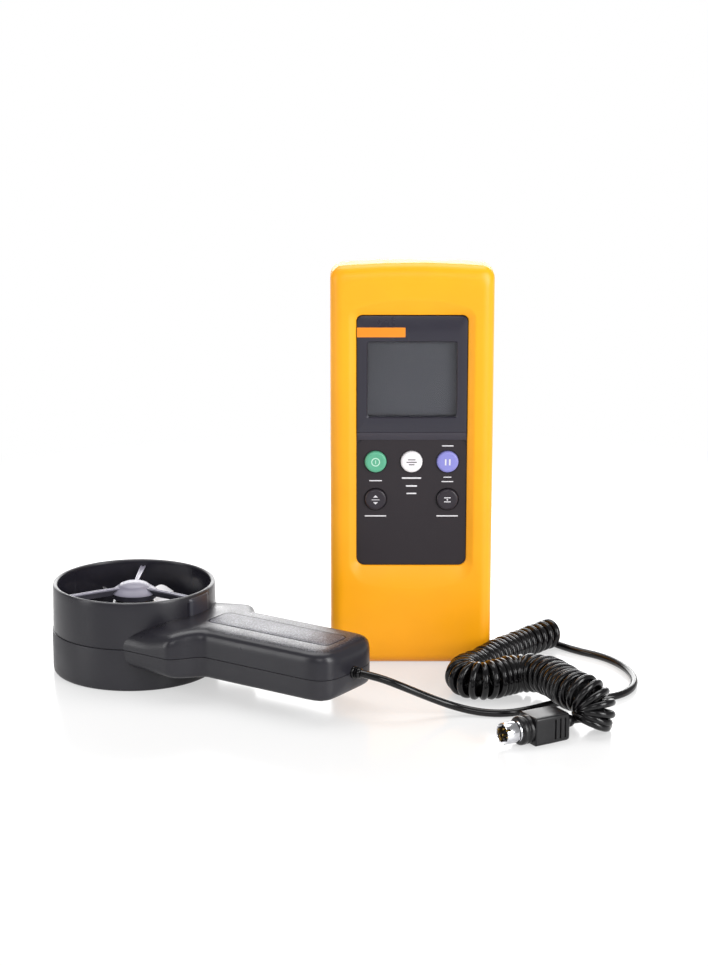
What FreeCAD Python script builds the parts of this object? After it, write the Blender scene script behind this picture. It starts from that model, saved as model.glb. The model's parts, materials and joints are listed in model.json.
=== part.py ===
import FreeCAD, Part
import math
import os
import re

import Sketcher
from FreeCAD import Placement, Rotation, Vector

# Handheld vane weather meter: a meter in a rubber holster that stands on its base, and a
# vane probe on a curly cord that lies in front of it. Millimetres, +Z up. The origin is the
# centre of the meter's base. The meter's face looks along -Y.

DRIVING_SIZES = {
    # holster
    "holster_width": 71.6, "holster_height": 181.4, "holster_depth": 35.0,
    "holster_side_wall": 2.8, "holster_front_wall": 3.0, "holster_rear_lip": 2.5,
    "holster_base_wall": 3.0, "holster_top_wall": 6.0, "holster_corner": 7.0,
    "holster_front_round": 6.0, "holster_rear_round": 3.0, "holster_top_slope": 3.0,
    "window_width": 48.8, "window_base": 45.7, "window_head": 158.8, "window_corner": 4.0,
    "bevel_side": 2.8, "bevel_head": 6.4, "bevel_foot": 10.4, "bevel_depth": 2.2,
    "rear_opening_width": 57.0, "rear_opening_base": 9.0, "rear_opening_head": 168.0,
    # case
    "fit_gap": 0.15, "case_wall": 2.0, "case_corner": 5.0,
    "case_screw_x": 27.0, "case_screw_inset": 7.0, "case_boss": 6.4,
    "case_screw_shank": 2.9, "case_screw_head": 5.2, "case_screw_head_height": 2.2,
    # display and keypad
    "bezel_base": 103.2, "bezel_thickness": 1.35, "keypad_label_thickness": 0.4,
    "display_width": 39.0, "display_height": 33.4, "display_centre_height": 130.1,
    "lens_margin": 0.9, "lens_thickness": 1.4,
    "glass_margin": 3.5, "glass_thickness": 2.6, "display_frame_wall": 1.8,
    "key_diameter": 9.6, "key_clearance": 0.2, "key_pitch": 15.9, "key_flange": 1.0,
    "key_upper_row": 93.1, "key_lower_row": 76.0, "key_proud": 1.4, "key_travel": 1.0,
    "key_stem": 5.0, "keypad_thickness": 1.0, "keypad_pill": 1.0,
    # circuit board
    "board_width": 56.0, "board_thickness": 1.6, "board_depth": 7.75,
    "board_screw_x": 24.0, "board_screw_low": 71.0, "board_screw_high": 160.0,
    "board_boss": 5.0, "board_screw_shank": 2.0, "board_screw_head": 4.0,
    # battery
    "battery_width": 26.5, "battery_length": 48.5, "battery_depth": 17.5,
    "battery_base": 15.5, "tub_clearance": 1.0, "tub_wall": 1.2, "door_margin": 2.6,
    # stand
    "stand_width": 43.4, "stand_thickness": 2.2, "stand_length": 68.0,
    "stand_hinge_height": 139.6, "stand_pin": 2.0, "pin_clearance": 0.05,
    # probe socket in the top of the case
    "socket_bore": 9.2, "socket_wall": 0.5, "socket_length": 9.0, "socket_centre_y": 6.2,
    # probe: ring, vane and handle
    "ring_centre_x": -123.3, "ring_centre_y": -19.6, "handle_angle": -34.1,
    "ring_height": 39.9, "seam_height": 19.0, "ring_radius": 36.7, "ring_rim_radius": 36.0,
    "ring_bore_radius": 34.0,
    "handle_half_width": 19.5, "handle_end": 118.0, "handle_base": 8.8, "handle_top": 31.0,
    "handle_wall": 2.2, "saddle_half_width": 31.0, "saddle_start": 17.0,
    "saddle_end": 44.0, "neck_start": 54.0, "handle_round": 4.0, "handle_end_corner": 5.0,
    "panel_start": 46.0, "panel_end": 110.0, "panel_half_width": 8.0, "panel_depth": 1.0,
    "guard_hub_radius": 11.0, "guard_cap_radius": 7.0, "spoke_width": 2.2, "spoke_height": 3.6,
    "spoke_drop": 3.8, "guard_foot_gap": 2.0,
    "rotor_tip_radius": 30.0, "rotor_hub_radius": 8.5, "rotor_hub_height": 9.0,
    "rotor_drop": 12.9, "blade_chord": 10.5, "blade_thickness": 0.9,
    "blade_pitch": 38.0, "blade_count": 6, "spoke_count": 3,
    "shaft_diameter": 1.6, "bearing_diameter": 4.0, "bearing_length": 2.8,
    "probe_screw_shank": 2.4, "probe_screw_head": 4.4, "probe_boss": 6.0,
    "sensor_diameter": 4.0, "sensor_rise": 7.0,
    # cord and plug
    "cord_diameter": 3.3, "coil_diameter": 13.8,
    "collar_length": 4.0, "collar_diameter": 5.4,
    "plug_shell_diameter": 9.0, "plug_shell_length": 7.4, "plug_shell_wall": 0.5,
    "plug_recess": 4.6, "plug_pin_diameter": 0.8, "plug_pin_setback": 1.2,
    "plug_nose_diameter": 12.0, "plug_nose_length": 5.0, "plug_body_length": 17.0,
    "plug_body_width": 12.6, "plug_body_height": 12.0, "plug_relief_diameter": 6.0,
    "plug_relief_length": 12.4, "plug_body_corner": 1.6,
}

doc = FreeCAD.newDocument("WeatherMeter")
sheet = doc.addObject("Spreadsheet::Sheet", "Sizes")
for row, (alias, number) in enumerate(DRIVING_SIZES.items(), start=1):
    sheet.set(f"A{row}", alias)
    sheet.set(f"B{row}", str(number))
    sheet.setAlias(f"B{row}", alias)
doc.recompute()


class Size:
    """A number together with the sheet formula that gives it."""

    def __init__(self, number, formula):
        self.number = number
        self.formula = formula

    def __add__(self, other):
        other = as_size(other)
        return Size(self.number + other.number, f"({self.formula} + {other.formula})")

    def __sub__(self, other):
        other = as_size(other)
        return Size(self.number - other.number, f"({self.formula} - {other.formula})")

    def __mul__(self, other):
        other = as_size(other)
        return Size(self.number * other.number, f"({self.formula} * {other.formula})")

    def __truediv__(self, other):
        other = as_size(other)
        return Size(self.number / other.number, f"({self.formula} / {other.formula})")

    def __neg__(self):
        return Size(-self.number, f"(0 - {self.formula})")

    __radd__ = __add__
    __rmul__ = __mul__

    def __rsub__(self, other):
        return as_size(other) - self


def as_size(value):
    """Return a plain number as a Size, and a Size unchanged."""
    return value if isinstance(value, Size) else Size(float(value), f"{float(value):.6f}")


class Sheet:
    """Gives each named size of the spreadsheet as a Size."""

    def __getattr__(self, alias):
        return Size(float(sheet.get(alias)), f"Sizes.{alias}")


s = Sheet()


def bind(item, path, value):
    """Drive one property or constraint of a document object from the sheet."""
    value = as_size(value)
    item.setExpression(path, value.formula)


# ---------------------------------------------------------------- drawing helpers

PLANES = {"XY": "XY_Plane", "XZ": "XZ_Plane", "YZ": "YZ_Plane"}
sub_parts = []


def new_body(label, x=0, y=0, z=0):
    """Start a sub-part whose own origin stands at x, y, z."""
    body = doc.addObject("PartDesign::Body", label)
    body.Label = label
    for axis, value in (("x", x), ("y", y), ("z", z)):
        bind(body, f"Placement.Base.{axis}", value)
    sub_parts.append(body)
    return body


def new_sketch(body, plane, lift=0):
    """Put an empty sketch on one of the body's origin planes, raised along its normal."""
    sketch = body.newObject("Sketcher::SketchObject", f"{body.Name}_sketch")
    support = [item for item in body.Origin.OriginFeatures if item.Role == PLANES[plane]][0]
    sketch.AttachmentSupport = [(support, "")]
    sketch.MapMode = "FlatFace"
    bind(sketch, "AttachmentOffset.Base.z", lift)
    return sketch


def place_point(sketch, geometry, vertex, x, y):
    """Fix one sketch vertex at x, y from the sketch's origin."""
    for kind, value, axis in (("DistanceX", as_size(x), -2), ("DistanceY", as_size(y), -1)):
        if abs(value.number) < 1e-9:
            sketch.addConstraint(Sketcher.Constraint("PointOnObject", geometry, vertex, axis))
            continue
        index = sketch.addConstraint(
            Sketcher.Constraint(kind, -1, 1, geometry, vertex, value.number))
        bind(sketch, f"Constraints[{index}]", value)


def draw_circle(sketch, x, y, radius):
    """Draw one circle with a driven centre and radius."""
    x, y, radius = as_size(x), as_size(y), as_size(radius)
    circle = Part.Circle(Vector(x.number, y.number, 0), Vector(0, 0, 1), radius.number)
    index = sketch.addGeometry(circle, False)
    constraint = sketch.addConstraint(Sketcher.Constraint("Radius", index, radius.number))
    bind(sketch, f"Constraints[{constraint}]", radius)
    place_point(sketch, index, 3, x, y)


def draw_polygon(sketch, points):
    """Draw a closed run of lines through driven points."""
    points = [(as_size(x), as_size(y)) for x, y in points]
    count = len(points)
    first = sketch.GeometryCount
    for i, (x, y) in enumerate(points):
        next_x, next_y = points[(i + 1) % count]
        sketch.addGeometry(Part.LineSegment(
            Vector(x.number, y.number, 0), Vector(next_x.number, next_y.number, 0)), False)
    for i in range(count):
        sketch.addConstraint(Sketcher.Constraint(
            "Coincident", first + i, 2, first + (i + 1) % count, 1))
    for i, (x, y) in enumerate(points):
        place_point(sketch, first + i, 1, x, y)


def draw_rounded_rectangle(sketch, width, height, radius, x=0, y=0):
    """Draw a rectangle with four equal corner arcs, centred on x, y."""
    width, height, radius = as_size(width), as_size(height), as_size(radius)
    x, y = as_size(x), as_size(y)
    left, right = (x - width / 2).number, (x + width / 2).number
    low, high = (y - height / 2).number, (y + height / 2).number
    r = radius.number
    first = sketch.GeometryCount
    corners = [(right - r, low + r, -90), (right - r, high - r, 0),
               (left + r, high - r, 90), (left + r, low + r, 180)]
    ends = [((left + r, low), (right - r, low)), ((right, low + r), (right, high - r)),
            ((right - r, high), (left + r, high)), ((left, high - r), (left, low + r))]
    for (start, end), (cx, cy, angle) in zip(ends, corners):
        sketch.addGeometry(Part.LineSegment(Vector(*start, 0), Vector(*end, 0)), False)
        circle = Part.Circle(Vector(cx, cy, 0), Vector(0, 0, 1), r)
        turn = math.radians(angle)
        sketch.addGeometry(Part.ArcOfCircle(circle, turn, turn + math.pi / 2), False)
    for i in range(4):
        line, arc = first + 2 * i, first + 2 * i + 1
        after = first + (2 * i + 2) % 8
        sketch.addConstraint(Sketcher.Constraint("Tangent", line, 2, arc, 1))
        sketch.addConstraint(Sketcher.Constraint("Tangent", arc, 2, after, 1))
        direction = "Horizontal" if i % 2 == 0 else "Vertical"
        sketch.addConstraint(Sketcher.Constraint(direction, line))
        if i:
            sketch.addConstraint(Sketcher.Constraint("Equal", first + 1, arc))
    driven = [
        (Sketcher.Constraint("Radius", first + 1, r), radius),
        (Sketcher.Constraint("DistanceX", first + 6, 1, first + 2, 1, width.number), width),
        (Sketcher.Constraint("DistanceY", first, 1, first + 4, 1, height.number), height),
        (Sketcher.Constraint("DistanceX", -1, 1, first + 2, 1, right), x + width / 2),
        (Sketcher.Constraint("DistanceY", -1, 1, first + 4, 1, high), y + height / 2),
    ]
    for constraint, value in driven:
        index = sketch.addConstraint(constraint)
        bind(sketch, f"Constraints[{index}]", value)


def pad(body, sketch, length, backwards=False):
    """Grow the body from a sketch, along the sketch's normal or against it."""
    feature = body.newObject("PartDesign::Pad", f"{body.Name}_pad")
    feature.Profile = sketch
    bind(feature, "Length", length)
    feature.Reversed = backwards
    doc.recompute()
    return feature


def pocket(body, sketch, depth, along_normal=False):
    """Cut the body from a sketch, against the sketch's normal or along it."""
    before = body.Shape.Volume
    feature = body.newObject("PartDesign::Pocket", f"{body.Name}_pocket")
    feature.Profile = sketch
    bind(feature, "Length", depth)
    feature.Reversed = along_normal
    doc.recompute()
    if body.Shape.Volume >= before - 1e-6:
        raise RuntimeError(f"{feature.Label} cuts nothing")
    return feature


def edges_where(feature, test):
    """Names of the feature's edges that pass a test."""
    return [f"Edge{i}" for i, edge in enumerate(feature.Shape.Edges, start=1) if test(edge)]


def fillet(body, feature, names, radius):
    """Round the named edges of the body's last feature."""
    if not names:
        raise RuntimeError(f"no edge to round on {body.Label}")
    rounding = body.newObject("PartDesign::Fillet", f"{body.Name}_fillet")
    rounding.Base = (feature, names)
    bind(rounding, "Radius", radius)
    doc.recompute()
    return rounding


def slab(label, x, front, z, width, height, radius, depth):
    """A rounded plate that faces -Y, from its front face backwards."""
    body = new_body(label, x, front, z)
    sketch = new_sketch(body, "XZ")
    draw_rounded_rectangle(sketch, width, height, radius)
    pad(body, sketch, depth, backwards=True)
    return body


def add_slab(body, start, width, height, radius, depth, x=0, z=0):
    """Add a rounded block, start being its distance behind the body's front plane."""
    sketch = new_sketch(body, "XZ", -as_size(start))
    draw_rounded_rectangle(sketch, width, height, radius, x, z)
    return pad(body, sketch, depth, backwards=True)


def cut_slab(body, start, width, height, radius, depth, x=0, z=0):
    """Cut a rounded pocket, start being its distance behind the body's front plane."""
    sketch = new_sketch(body, "XZ", -as_size(start))
    draw_rounded_rectangle(sketch, width, height, radius, x, z)
    return pocket(body, sketch, depth)


def add_rods(body, start, centres, radius, depth):
    """Add round bosses along +Y."""
    sketch = new_sketch(body, "XZ", -as_size(start))
    for x, z in centres:
        draw_circle(sketch, x, z, radius)
    return pad(body, sketch, depth, backwards=True)


def cut_rods(body, start, centres, radius, depth):
    """Cut round holes along +Y."""
    sketch = new_sketch(body, "XZ", -as_size(start))
    for x, z in centres:
        draw_circle(sketch, x, z, radius)
    return pocket(body, sketch, depth)


def add_disc(body, base, radius, height, x=0, y=0):
    """Add an upright cylinder from the level base."""
    sketch = new_sketch(body, "XY", base)
    draw_circle(sketch, x, y, radius)
    return pad(body, sketch, height)


def cut_disc(body, base, radius, height, x=0, y=0):
    """Cut an upright round hole from the level base upwards."""
    sketch = new_sketch(body, "XY", base)
    draw_circle(sketch, x, y, radius)
    return pocket(body, sketch, height, along_normal=True)


def group(label, shapes, placement=None):
    """One sub-part of several separate solids."""
    feature = doc.addObject("Part::Feature", label)
    feature.Label = label
    feature.Shape = Part.makeCompound(shapes) if len(shapes) > 1 else shapes[0]
    feature.Placement = placement or Placement()
    sub_parts.append(feature)
    return feature


def rod(label, base, axis, radius, height):
    """A plain cylinder from base along axis."""
    feature = doc.addObject("Part::Cylinder", label)
    feature.Label = label
    bind(feature, "Radius", radius)
    bind(feature, "Height", height)
    feature.Placement = Placement(Vector(), Rotation(Vector(0, 0, 1), axis))
    for name, value in zip("xyz", base):
        bind(feature, f"Placement.Base.{name}", value)
    sub_parts.append(feature)
    return feature


def revolve(body, plane, points, around):
    """Turn a closed profile a full circle around a sketch axis."""
    sketch = new_sketch(body, plane)
    draw_polygon(sketch, points)
    feature = body.newObject("PartDesign::Revolution", f"{body.Name}_revolution")
    feature.Profile = sketch
    feature.ReferenceAxis = (sketch, [around])
    feature.Angle = 360
    doc.recompute()
    return feature


def screw(seat, axis, shank_radius, shank_length, head_radius, head_height):
    """A screw whose head sits on seat and whose shank runs along axis."""
    shank = Part.makeCylinder(shank_radius, shank_length, seat, axis)
    head = Part.makeCylinder(head_radius, head_height, seat, axis * -1)
    return shank.fuse(head).removeSplitter()


def mirrored_pair(x, rows):
    """Centres at plus and minus x on each row."""
    return [(side * x, row) for row in rows for side in (-1, 1)]


# ---------------------------------------------------------------- meter: shared places

half_depth = s.holster_depth / 2
case_front = s.holster_front_wall + s.fit_gap - half_depth
case_back = half_depth - s.holster_rear_lip - s.fit_gap
case_width = s.holster_width - 2 * (s.holster_side_wall + s.fit_gap)
case_base = s.holster_base_wall + s.fit_gap
case_top = s.holster_height - s.holster_top_wall - s.fit_gap
case_height = case_top - case_base
case_middle = (case_top + case_base) / 2
case_inside = case_back - s.case_wall
board_front = case_front + s.board_depth
board_back = board_front + s.board_thickness

battery_back = case_inside - 0.35
battery_front = battery_back - s.battery_depth
battery_middle = s.battery_base + s.battery_length / 2
tub_width = s.battery_width + 2 * s.tub_clearance
tub_base = s.battery_base - s.tub_clearance
tub_head = s.battery_base + s.battery_length + s.tub_clearance + 0.2
tub_height = tub_head - tub_base
tub_middle = (tub_head + tub_base) / 2
door_width = tub_width + 2 * s.door_margin
door_height = tub_height + 2 * s.door_margin
board_low = tub_head + s.tub_wall + 1
board_high = s.board_screw_high + 4
board_middle = (board_low + board_high) / 2

stand_recess_depth = s.stand_thickness + s.fit_gap
stand_front = case_back - stand_recess_depth + s.fit_gap
stand_barrel = s.stand_pin / 2 + 0.95
stand_axis_y = stand_front + stand_barrel
stand_middle = s.stand_hinge_height - s.stand_length / 2
stand_recess_width = s.stand_width + 0.7
stand_recess_height = s.stand_length + 2 * stand_barrel + 1

socket_radius = s.socket_bore / 2 + s.socket_wall
socket_top = case_top + 0.5
socket_floor = socket_top - s.socket_length

key_centres = [
    ("key_power", -s.key_pitch, s.key_upper_row),
    ("key_function", Size(0.0, "0"), s.key_upper_row),
    ("key_hold", s.key_pitch, s.key_upper_row),
    ("key_min_max", -s.key_pitch, s.key_lower_row),
    ("key_average", s.key_pitch, s.key_lower_row),
]
case_screw_rows = (case_base + s.case_screw_inset, case_top - s.case_screw_inset)
case_screw_centres = mirrored_pair(s.case_screw_x, case_screw_rows)
board_screw_centres = mirrored_pair(s.board_screw_x, (s.board_screw_low, s.board_screw_high))


def relative_to(middle, centres):
    """Move centres from the row frame to a body that stands at height middle."""
    return [(x, z - middle) for x, z in centres]


# ---------------------------------------------------------------- meter: sub-parts


def build_holster():
    """Rubber holster: a boot open at the back, with a bevelled window in its face."""
    middle = s.holster_height / 2
    body = slab("holster", 0, -half_depth, middle, s.holster_width, s.holster_height,
                s.holster_corner, s.holster_depth)
    slope = new_sketch(body, "YZ", -s.holster_width)
    draw_polygon(slope, [(half_depth, middle), (s.holster_depth + 1, middle),
                         (s.holster_depth + 1, middle - s.holster_top_slope)])
    cut = pocket(body, slope, 2 * s.holster_width, along_normal=True)
    front = fillet(body, cut, edges_where(cut, lambda e: e.BoundBox.YMax < 0.01),
                   s.holster_front_round)
    depth = s.holster_depth.number
    fillet(body, front, edges_where(front, lambda e: e.BoundBox.YMin > depth - 0.01),
           s.holster_rear_round)
    cut_slab(body, s.holster_front_wall, s.holster_width - 2 * s.holster_side_wall,
             s.holster_height - s.holster_base_wall - s.holster_top_wall,
             s.holster_corner - s.holster_side_wall,
             s.holster_depth - s.holster_front_wall - s.holster_rear_lip,
             z=(s.holster_base_wall - s.holster_top_wall) / 2)

    window_height = s.window_head - s.window_base
    window_z = (s.window_head + s.window_base) / 2 - middle
    outer = new_sketch(body, "XZ", 0)
    draw_rounded_rectangle(outer, s.window_width + 2 * s.bevel_side,
                           window_height + s.bevel_head + s.bevel_foot,
                           s.window_corner + s.bevel_side,
                           0, window_z + (s.bevel_head - s.bevel_foot) / 2)
    inner = new_sketch(body, "XZ", -s.bevel_depth)
    draw_rounded_rectangle(inner, s.window_width, window_height, s.window_corner, 0, window_z)
    bevel = body.newObject("PartDesign::SubtractiveLoft", "holster_bevel")
    bevel.Profile = outer
    bevel.Sections = [inner]
    doc.recompute()
    cut_slab(body, s.bevel_depth, s.window_width, window_height, s.window_corner,
             s.holster_front_wall - s.bevel_depth, z=window_z)

    rear_height = s.rear_opening_head - s.rear_opening_base
    rear_z = (s.rear_opening_head + s.rear_opening_base) / 2 - middle
    cut_slab(body, s.holster_depth - s.holster_rear_lip, s.rear_opening_width, rear_height,
             s.window_corner, s.holster_rear_lip, z=rear_z)
    cut_disc(body, middle - s.holster_top_wall, s.plug_nose_diameter / 2 + 1,
             s.holster_top_wall, y=half_depth + s.socket_centre_y)


def build_front_case():
    """Front half of the case, with the lens opening, key holes and screw bosses."""
    depth = -case_front
    body = slab("front_case", 0, case_front, case_middle, case_width, case_height,
                s.case_corner, depth)
    cut_slab(body, s.case_wall, case_width - 2 * s.case_wall, case_height - 2 * s.case_wall,
             s.case_corner - s.case_wall, depth - s.case_wall)
    add_rods(body, s.case_wall / 2, relative_to(case_middle, case_screw_centres),
             s.case_boss / 2, depth - s.case_wall / 2)
    add_rods(body, s.case_wall / 2, relative_to(case_middle, board_screw_centres),
             s.board_boss / 2, s.board_depth - s.case_wall / 2)
    cut_slab(body, 0, s.display_width + 2 * s.lens_margin + 0.4,
             s.display_height + 2 * s.lens_margin + 0.4, 1.5, s.case_wall,
             z=s.display_centre_height - case_middle)
    keys = [(x, z) for _, x, z in key_centres]
    cut_rods(body, 0, relative_to(case_middle, keys), s.key_diameter / 2 + s.key_clearance,
             s.case_wall)
    cut_rods(body, s.case_wall + 1, relative_to(case_middle, case_screw_centres),
             s.case_screw_shank / 2 + s.pin_clearance, depth - s.case_wall - 1)
    cut_rods(body, s.case_wall + 0.5, relative_to(case_middle, board_screw_centres),
             s.board_screw_shank / 2 + s.pin_clearance, s.board_depth - s.case_wall - 0.5)


def build_rear_case():
    """Rear half of the case: battery tub, recess and lugs for the stand, socket hole."""
    body = slab("rear_case", 0, 0, case_middle, case_width, case_height, s.case_corner,
                case_back)
    cut_slab(body, 0, case_width - 2 * s.case_wall, case_height - 2 * s.case_wall,
             s.case_corner - s.case_wall, case_inside)
    inside = case_back - s.case_wall / 2
    add_rods(body, 0, relative_to(case_middle, case_screw_centres), s.case_boss / 2, inside)
    tub_z = tub_middle - case_middle
    tub_front = battery_front - s.tub_clearance
    add_slab(body, tub_front - s.tub_wall, tub_width + 2 * s.tub_wall,
             tub_height + 2 * s.tub_wall, 2.5, inside - tub_front + s.tub_wall, z=tub_z)
    add_slab(body, case_inside - s.case_wall, door_width + 2 * s.tub_wall,
             door_height + 2 * s.tub_wall, 3.5, s.case_wall * 1.5, z=tub_z)
    recess_z = stand_middle + stand_barrel - case_middle
    recess_start = case_back - stand_recess_depth
    add_slab(body, recess_start - s.case_wall * 0.8, stand_recess_width + 2 * s.case_wall,
             stand_recess_height + 2 * s.case_wall, 2.0,
             stand_recess_depth + s.case_wall * 0.3, z=recess_z)
    lug_width = 3.0
    lug_x = stand_recess_width / 2 + lug_width / 2
    for side in (-1, 1):
        add_slab(body, case_back - 0.5, lug_width, 2 * stand_barrel, 0.8,
                 stand_axis_y + stand_barrel - case_back + 0.5, x=side * lug_x,
                 z=s.stand_hinge_height - case_middle)
    cut_slab(body, tub_front, tub_width, tub_height, 1.5, case_back - tub_front, z=tub_z)
    cut_slab(body, case_inside, door_width, door_height, 2.5, s.case_wall, z=tub_z)
    cut_slab(body, recess_start, stand_recess_width, stand_recess_height, 1.0,
             stand_recess_depth, z=recess_z)
    pin_reach = lug_x + lug_width / 2 - 0.4
    pin_hole = new_sketch(body, "YZ", -pin_reach)
    draw_circle(pin_hole, stand_axis_y, s.stand_hinge_height - case_middle,
                s.stand_pin / 2 + s.pin_clearance)
    pocket(body, pin_hole, 2 * pin_reach, along_normal=True)
    cut_rods(body, 0, relative_to(case_middle, case_screw_centres),
             s.case_screw_shank / 2 + s.pin_clearance, case_back)
    cut_rods(body, case_back - s.case_screw_head_height - 0.8,
             relative_to(case_middle, case_screw_centres), s.case_screw_head / 2 + 0.2,
             s.case_screw_head_height + 0.8)
    cut_disc(body, case_height / 2 - s.case_wall, socket_radius + 0.1, s.case_wall,
             y=s.socket_centre_y)
    return pin_reach


def build_display():
    """Display bezel, lens, liquid-crystal cell, its frame and its contact strips."""
    bezel_head = s.window_head - 0.4
    bezel_middle = (bezel_head + s.bezel_base) / 2
    bezel = slab("display_bezel", 0, case_front - s.bezel_thickness, bezel_middle,
                 s.window_width - 0.6, bezel_head - s.bezel_base, s.window_corner - 0.2,
                 s.bezel_thickness)
    cut_slab(bezel, 0, s.display_width, s.display_height, 1.0, s.bezel_thickness,
             z=s.display_centre_height - bezel_middle)
    slab("display_lens", 0, case_front + 0.05, s.display_centre_height,
         s.display_width + 2 * s.lens_margin, s.display_height + 2 * s.lens_margin, 1.3,
         s.lens_thickness)
    glass_front = case_front + s.case_wall + 0.1
    glass_width = s.display_width + 2 * s.glass_margin
    glass_height = s.display_height + 2 * s.glass_margin - 1.4
    slab("display_glass", 0, glass_front, s.display_centre_height, glass_width, glass_height,
         0.4, s.glass_thickness)
    frame = slab("display_frame", 0, glass_front, s.display_centre_height,
                 glass_width + 2 * s.display_frame_wall + 0.4,
                 glass_height + 2 * s.display_frame_wall + 0.4, 1.5,
                 board_front - 0.1 - glass_front)
    cut_slab(frame, 0, glass_width + 0.4, glass_height + 0.4, 0.6,
             board_front - 0.1 - glass_front)
    strip_front = glass_front + s.glass_thickness + 0.05
    strip_depth = board_front - 0.1 - strip_front
    strips = []
    for side in (-1, 1):
        corner = Vector(-s.display_width.number / 2, strip_front.number,
                        s.display_centre_height.number
                        + side * (glass_height.number / 2 - 3) - 1.5)
        strips.append(Part.makeBox(s.display_width.number, strip_depth.number, 3.0, corner))
    group("display_connectors", strips)


def build_keypad():
    """Keypad label, rubber dome sheet and five keys."""
    label_head = s.bezel_base - 0.1
    label_base = s.window_base + 0.3
    label_middle = (label_head + label_base) / 2
    label = slab("keypad_label", 0, case_front - s.keypad_label_thickness, label_middle,
                 s.window_width - 0.6, label_head - label_base, s.window_corner - 0.2,
                 s.keypad_label_thickness)
    centres = [(x, z) for _, x, z in key_centres]
    cut_rods(label, 0, relative_to(label_middle, centres),
             s.key_diameter / 2 + 2 * s.key_clearance, s.keypad_label_thickness)

    sheet_middle = (s.key_upper_row + s.key_lower_row) / 2
    dome_front = board_front - 0.1 - s.keypad_thickness
    domes = slab("keypad_sheet", 0, dome_front, sheet_middle,
                 2 * (s.key_pitch + s.key_stem), s.key_upper_row - s.key_lower_row + 11, 2.0,
                 s.keypad_thickness)
    add_rods(domes, -s.keypad_pill, relative_to(sheet_middle, centres), s.key_stem / 2,
             s.keypad_pill + s.keypad_thickness / 2)

    key_front = case_front - s.keypad_label_thickness - s.key_proud
    cap_end = case_front + s.case_wall + 0.1 - key_front
    stem_end = dome_front - s.keypad_pill - s.key_travel - 0.2 - key_front
    radius = s.key_diameter / 2
    flange_radius = radius + 1
    profile = [(0, 0), (radius - 0.9, 0.15), (radius - 0.2, 0.5), (radius, 1.1),
               (radius, cap_end), (flange_radius, cap_end),
               (flange_radius, cap_end + s.key_flange),
               (s.key_stem / 2, cap_end + s.key_flange), (s.key_stem / 2, stem_end),
               (0, stem_end)]
    for name, x, z in key_centres:
        revolve(new_body(name, x, key_front, z), "XY", profile, "V_Axis")


def build_electronics():
    """Main circuit board, its parts and screws, and the probe socket."""
    board = slab("main_board", 0, board_front, board_middle, s.board_width,
                 board_high - board_low, 1.5, s.board_thickness)
    cut_rods(board, 0, relative_to(board_middle, board_screw_centres),
             s.board_screw_shank / 2 + 0.3, s.board_thickness)
    back = board_back.number
    blocks = [(-6, 104, 14, 14, 1.6), (14, 90, 9, 6, 1.5), (-19, 84, 8, 5, 1.5),
              (13, 128, 10, 4.5, 3.4), (-14, 140, 12, 7, 2.2), (8, 150, 6, 6, 4.0)]
    solids = [Part.makeBox(w, d, tall, Vector(x - w / 2, back, z - tall / 2))
              for x, z, w, tall, d in blocks]
    solids.append(Part.makeCylinder(3.0, 6.0, Vector(-14, back, 122), Vector(0, 1, 0)))
    group("board_parts", solids)
    shank = s.board_depth.number - s.case_wall.number - 1 + s.board_thickness.number
    group("board_screws", [
        screw(Vector(x.number, back + 0.05, z.number), Vector(0, -1, 0),
              s.board_screw_shank.number / 2, shank, s.board_screw_head.number / 2, 1.5)
        for x, z in board_screw_centres])

    shell = new_body("socket_shell", 0, s.socket_centre_y, socket_floor)
    add_disc(shell, 0, socket_radius, s.socket_length)
    cut_disc(shell, 0, s.socket_bore / 2, s.socket_length)
    insert = new_body("socket_insert", 0, s.socket_centre_y, socket_floor)
    add_disc(insert, -3, socket_radius + 1.2, 2.95)
    core = s.plug_shell_diameter / 2 - s.plug_shell_wall - 0.35
    add_disc(insert, -0.5, core, s.socket_length - 1.0)
    sketch = new_sketch(insert, "XY", s.socket_length - 7)
    for x, y in pin_centres:
        draw_circle(sketch, x, y, s.plug_pin_diameter / 2 + 0.15)
    pocket(insert, sketch, 7, along_normal=True)


pin_centres = [(-1.7, -1.2), (1.7, -1.2), (-1.3, 1.5), (1.3, 1.5)]


def build_battery():
    """Nine-volt battery, its snap contacts and the door over it."""
    snap_height = 2.1
    case_length = s.battery_length - snap_height
    battery = slab("battery", 0, battery_front, s.battery_base + case_length / 2,
                   s.battery_width, case_length, 2.0, s.battery_depth)
    for side, radius in ((-1, 2.9), (1, 3.6)):
        add_disc(battery, case_length / 2 - 0.5, radius, snap_height + 0.5,
                 x=side * 6.35, y=s.battery_depth / 2)
    slab("battery_contacts", 0, battery_front + 1.0,
         s.battery_base + s.battery_length + 0.5, s.battery_width - 2, 0.8, 0.3,
         s.battery_depth - 2)
    slab("battery_door", 0, case_inside + 0.05, tub_middle, door_width - 0.4,
         door_height - 0.4, 2.3, s.case_wall - 0.05)


def build_stand(pin_reach):
    """Fold-out tilt stand on a steel pin."""
    stand = slab("tilt_stand", 0, stand_front, stand_middle, s.stand_width, s.stand_length,
                 1.5, s.stand_thickness)
    barrel_z = s.stand_hinge_height - stand_middle
    barrel = new_sketch(stand, "YZ", -s.stand_width / 2)
    draw_circle(barrel, stand_barrel, barrel_z, stand_barrel)
    pad(stand, barrel, s.stand_width)
    hole = new_sketch(stand, "YZ", -s.stand_width / 2)
    draw_circle(hole, stand_barrel, barrel_z, s.stand_pin / 2 + s.pin_clearance)
    pocket(stand, hole, s.stand_width, along_normal=True)
    cut_slab(stand, 0, s.stand_width - 16, s.stand_length - 30, 6.0, s.stand_thickness,
             z=-3)
    reach = pin_reach - 0.1
    rod("stand_pin", (-reach, stand_axis_y, s.stand_hinge_height), Vector(1, 0, 0),
        s.stand_pin / 2, 2 * reach)


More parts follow.
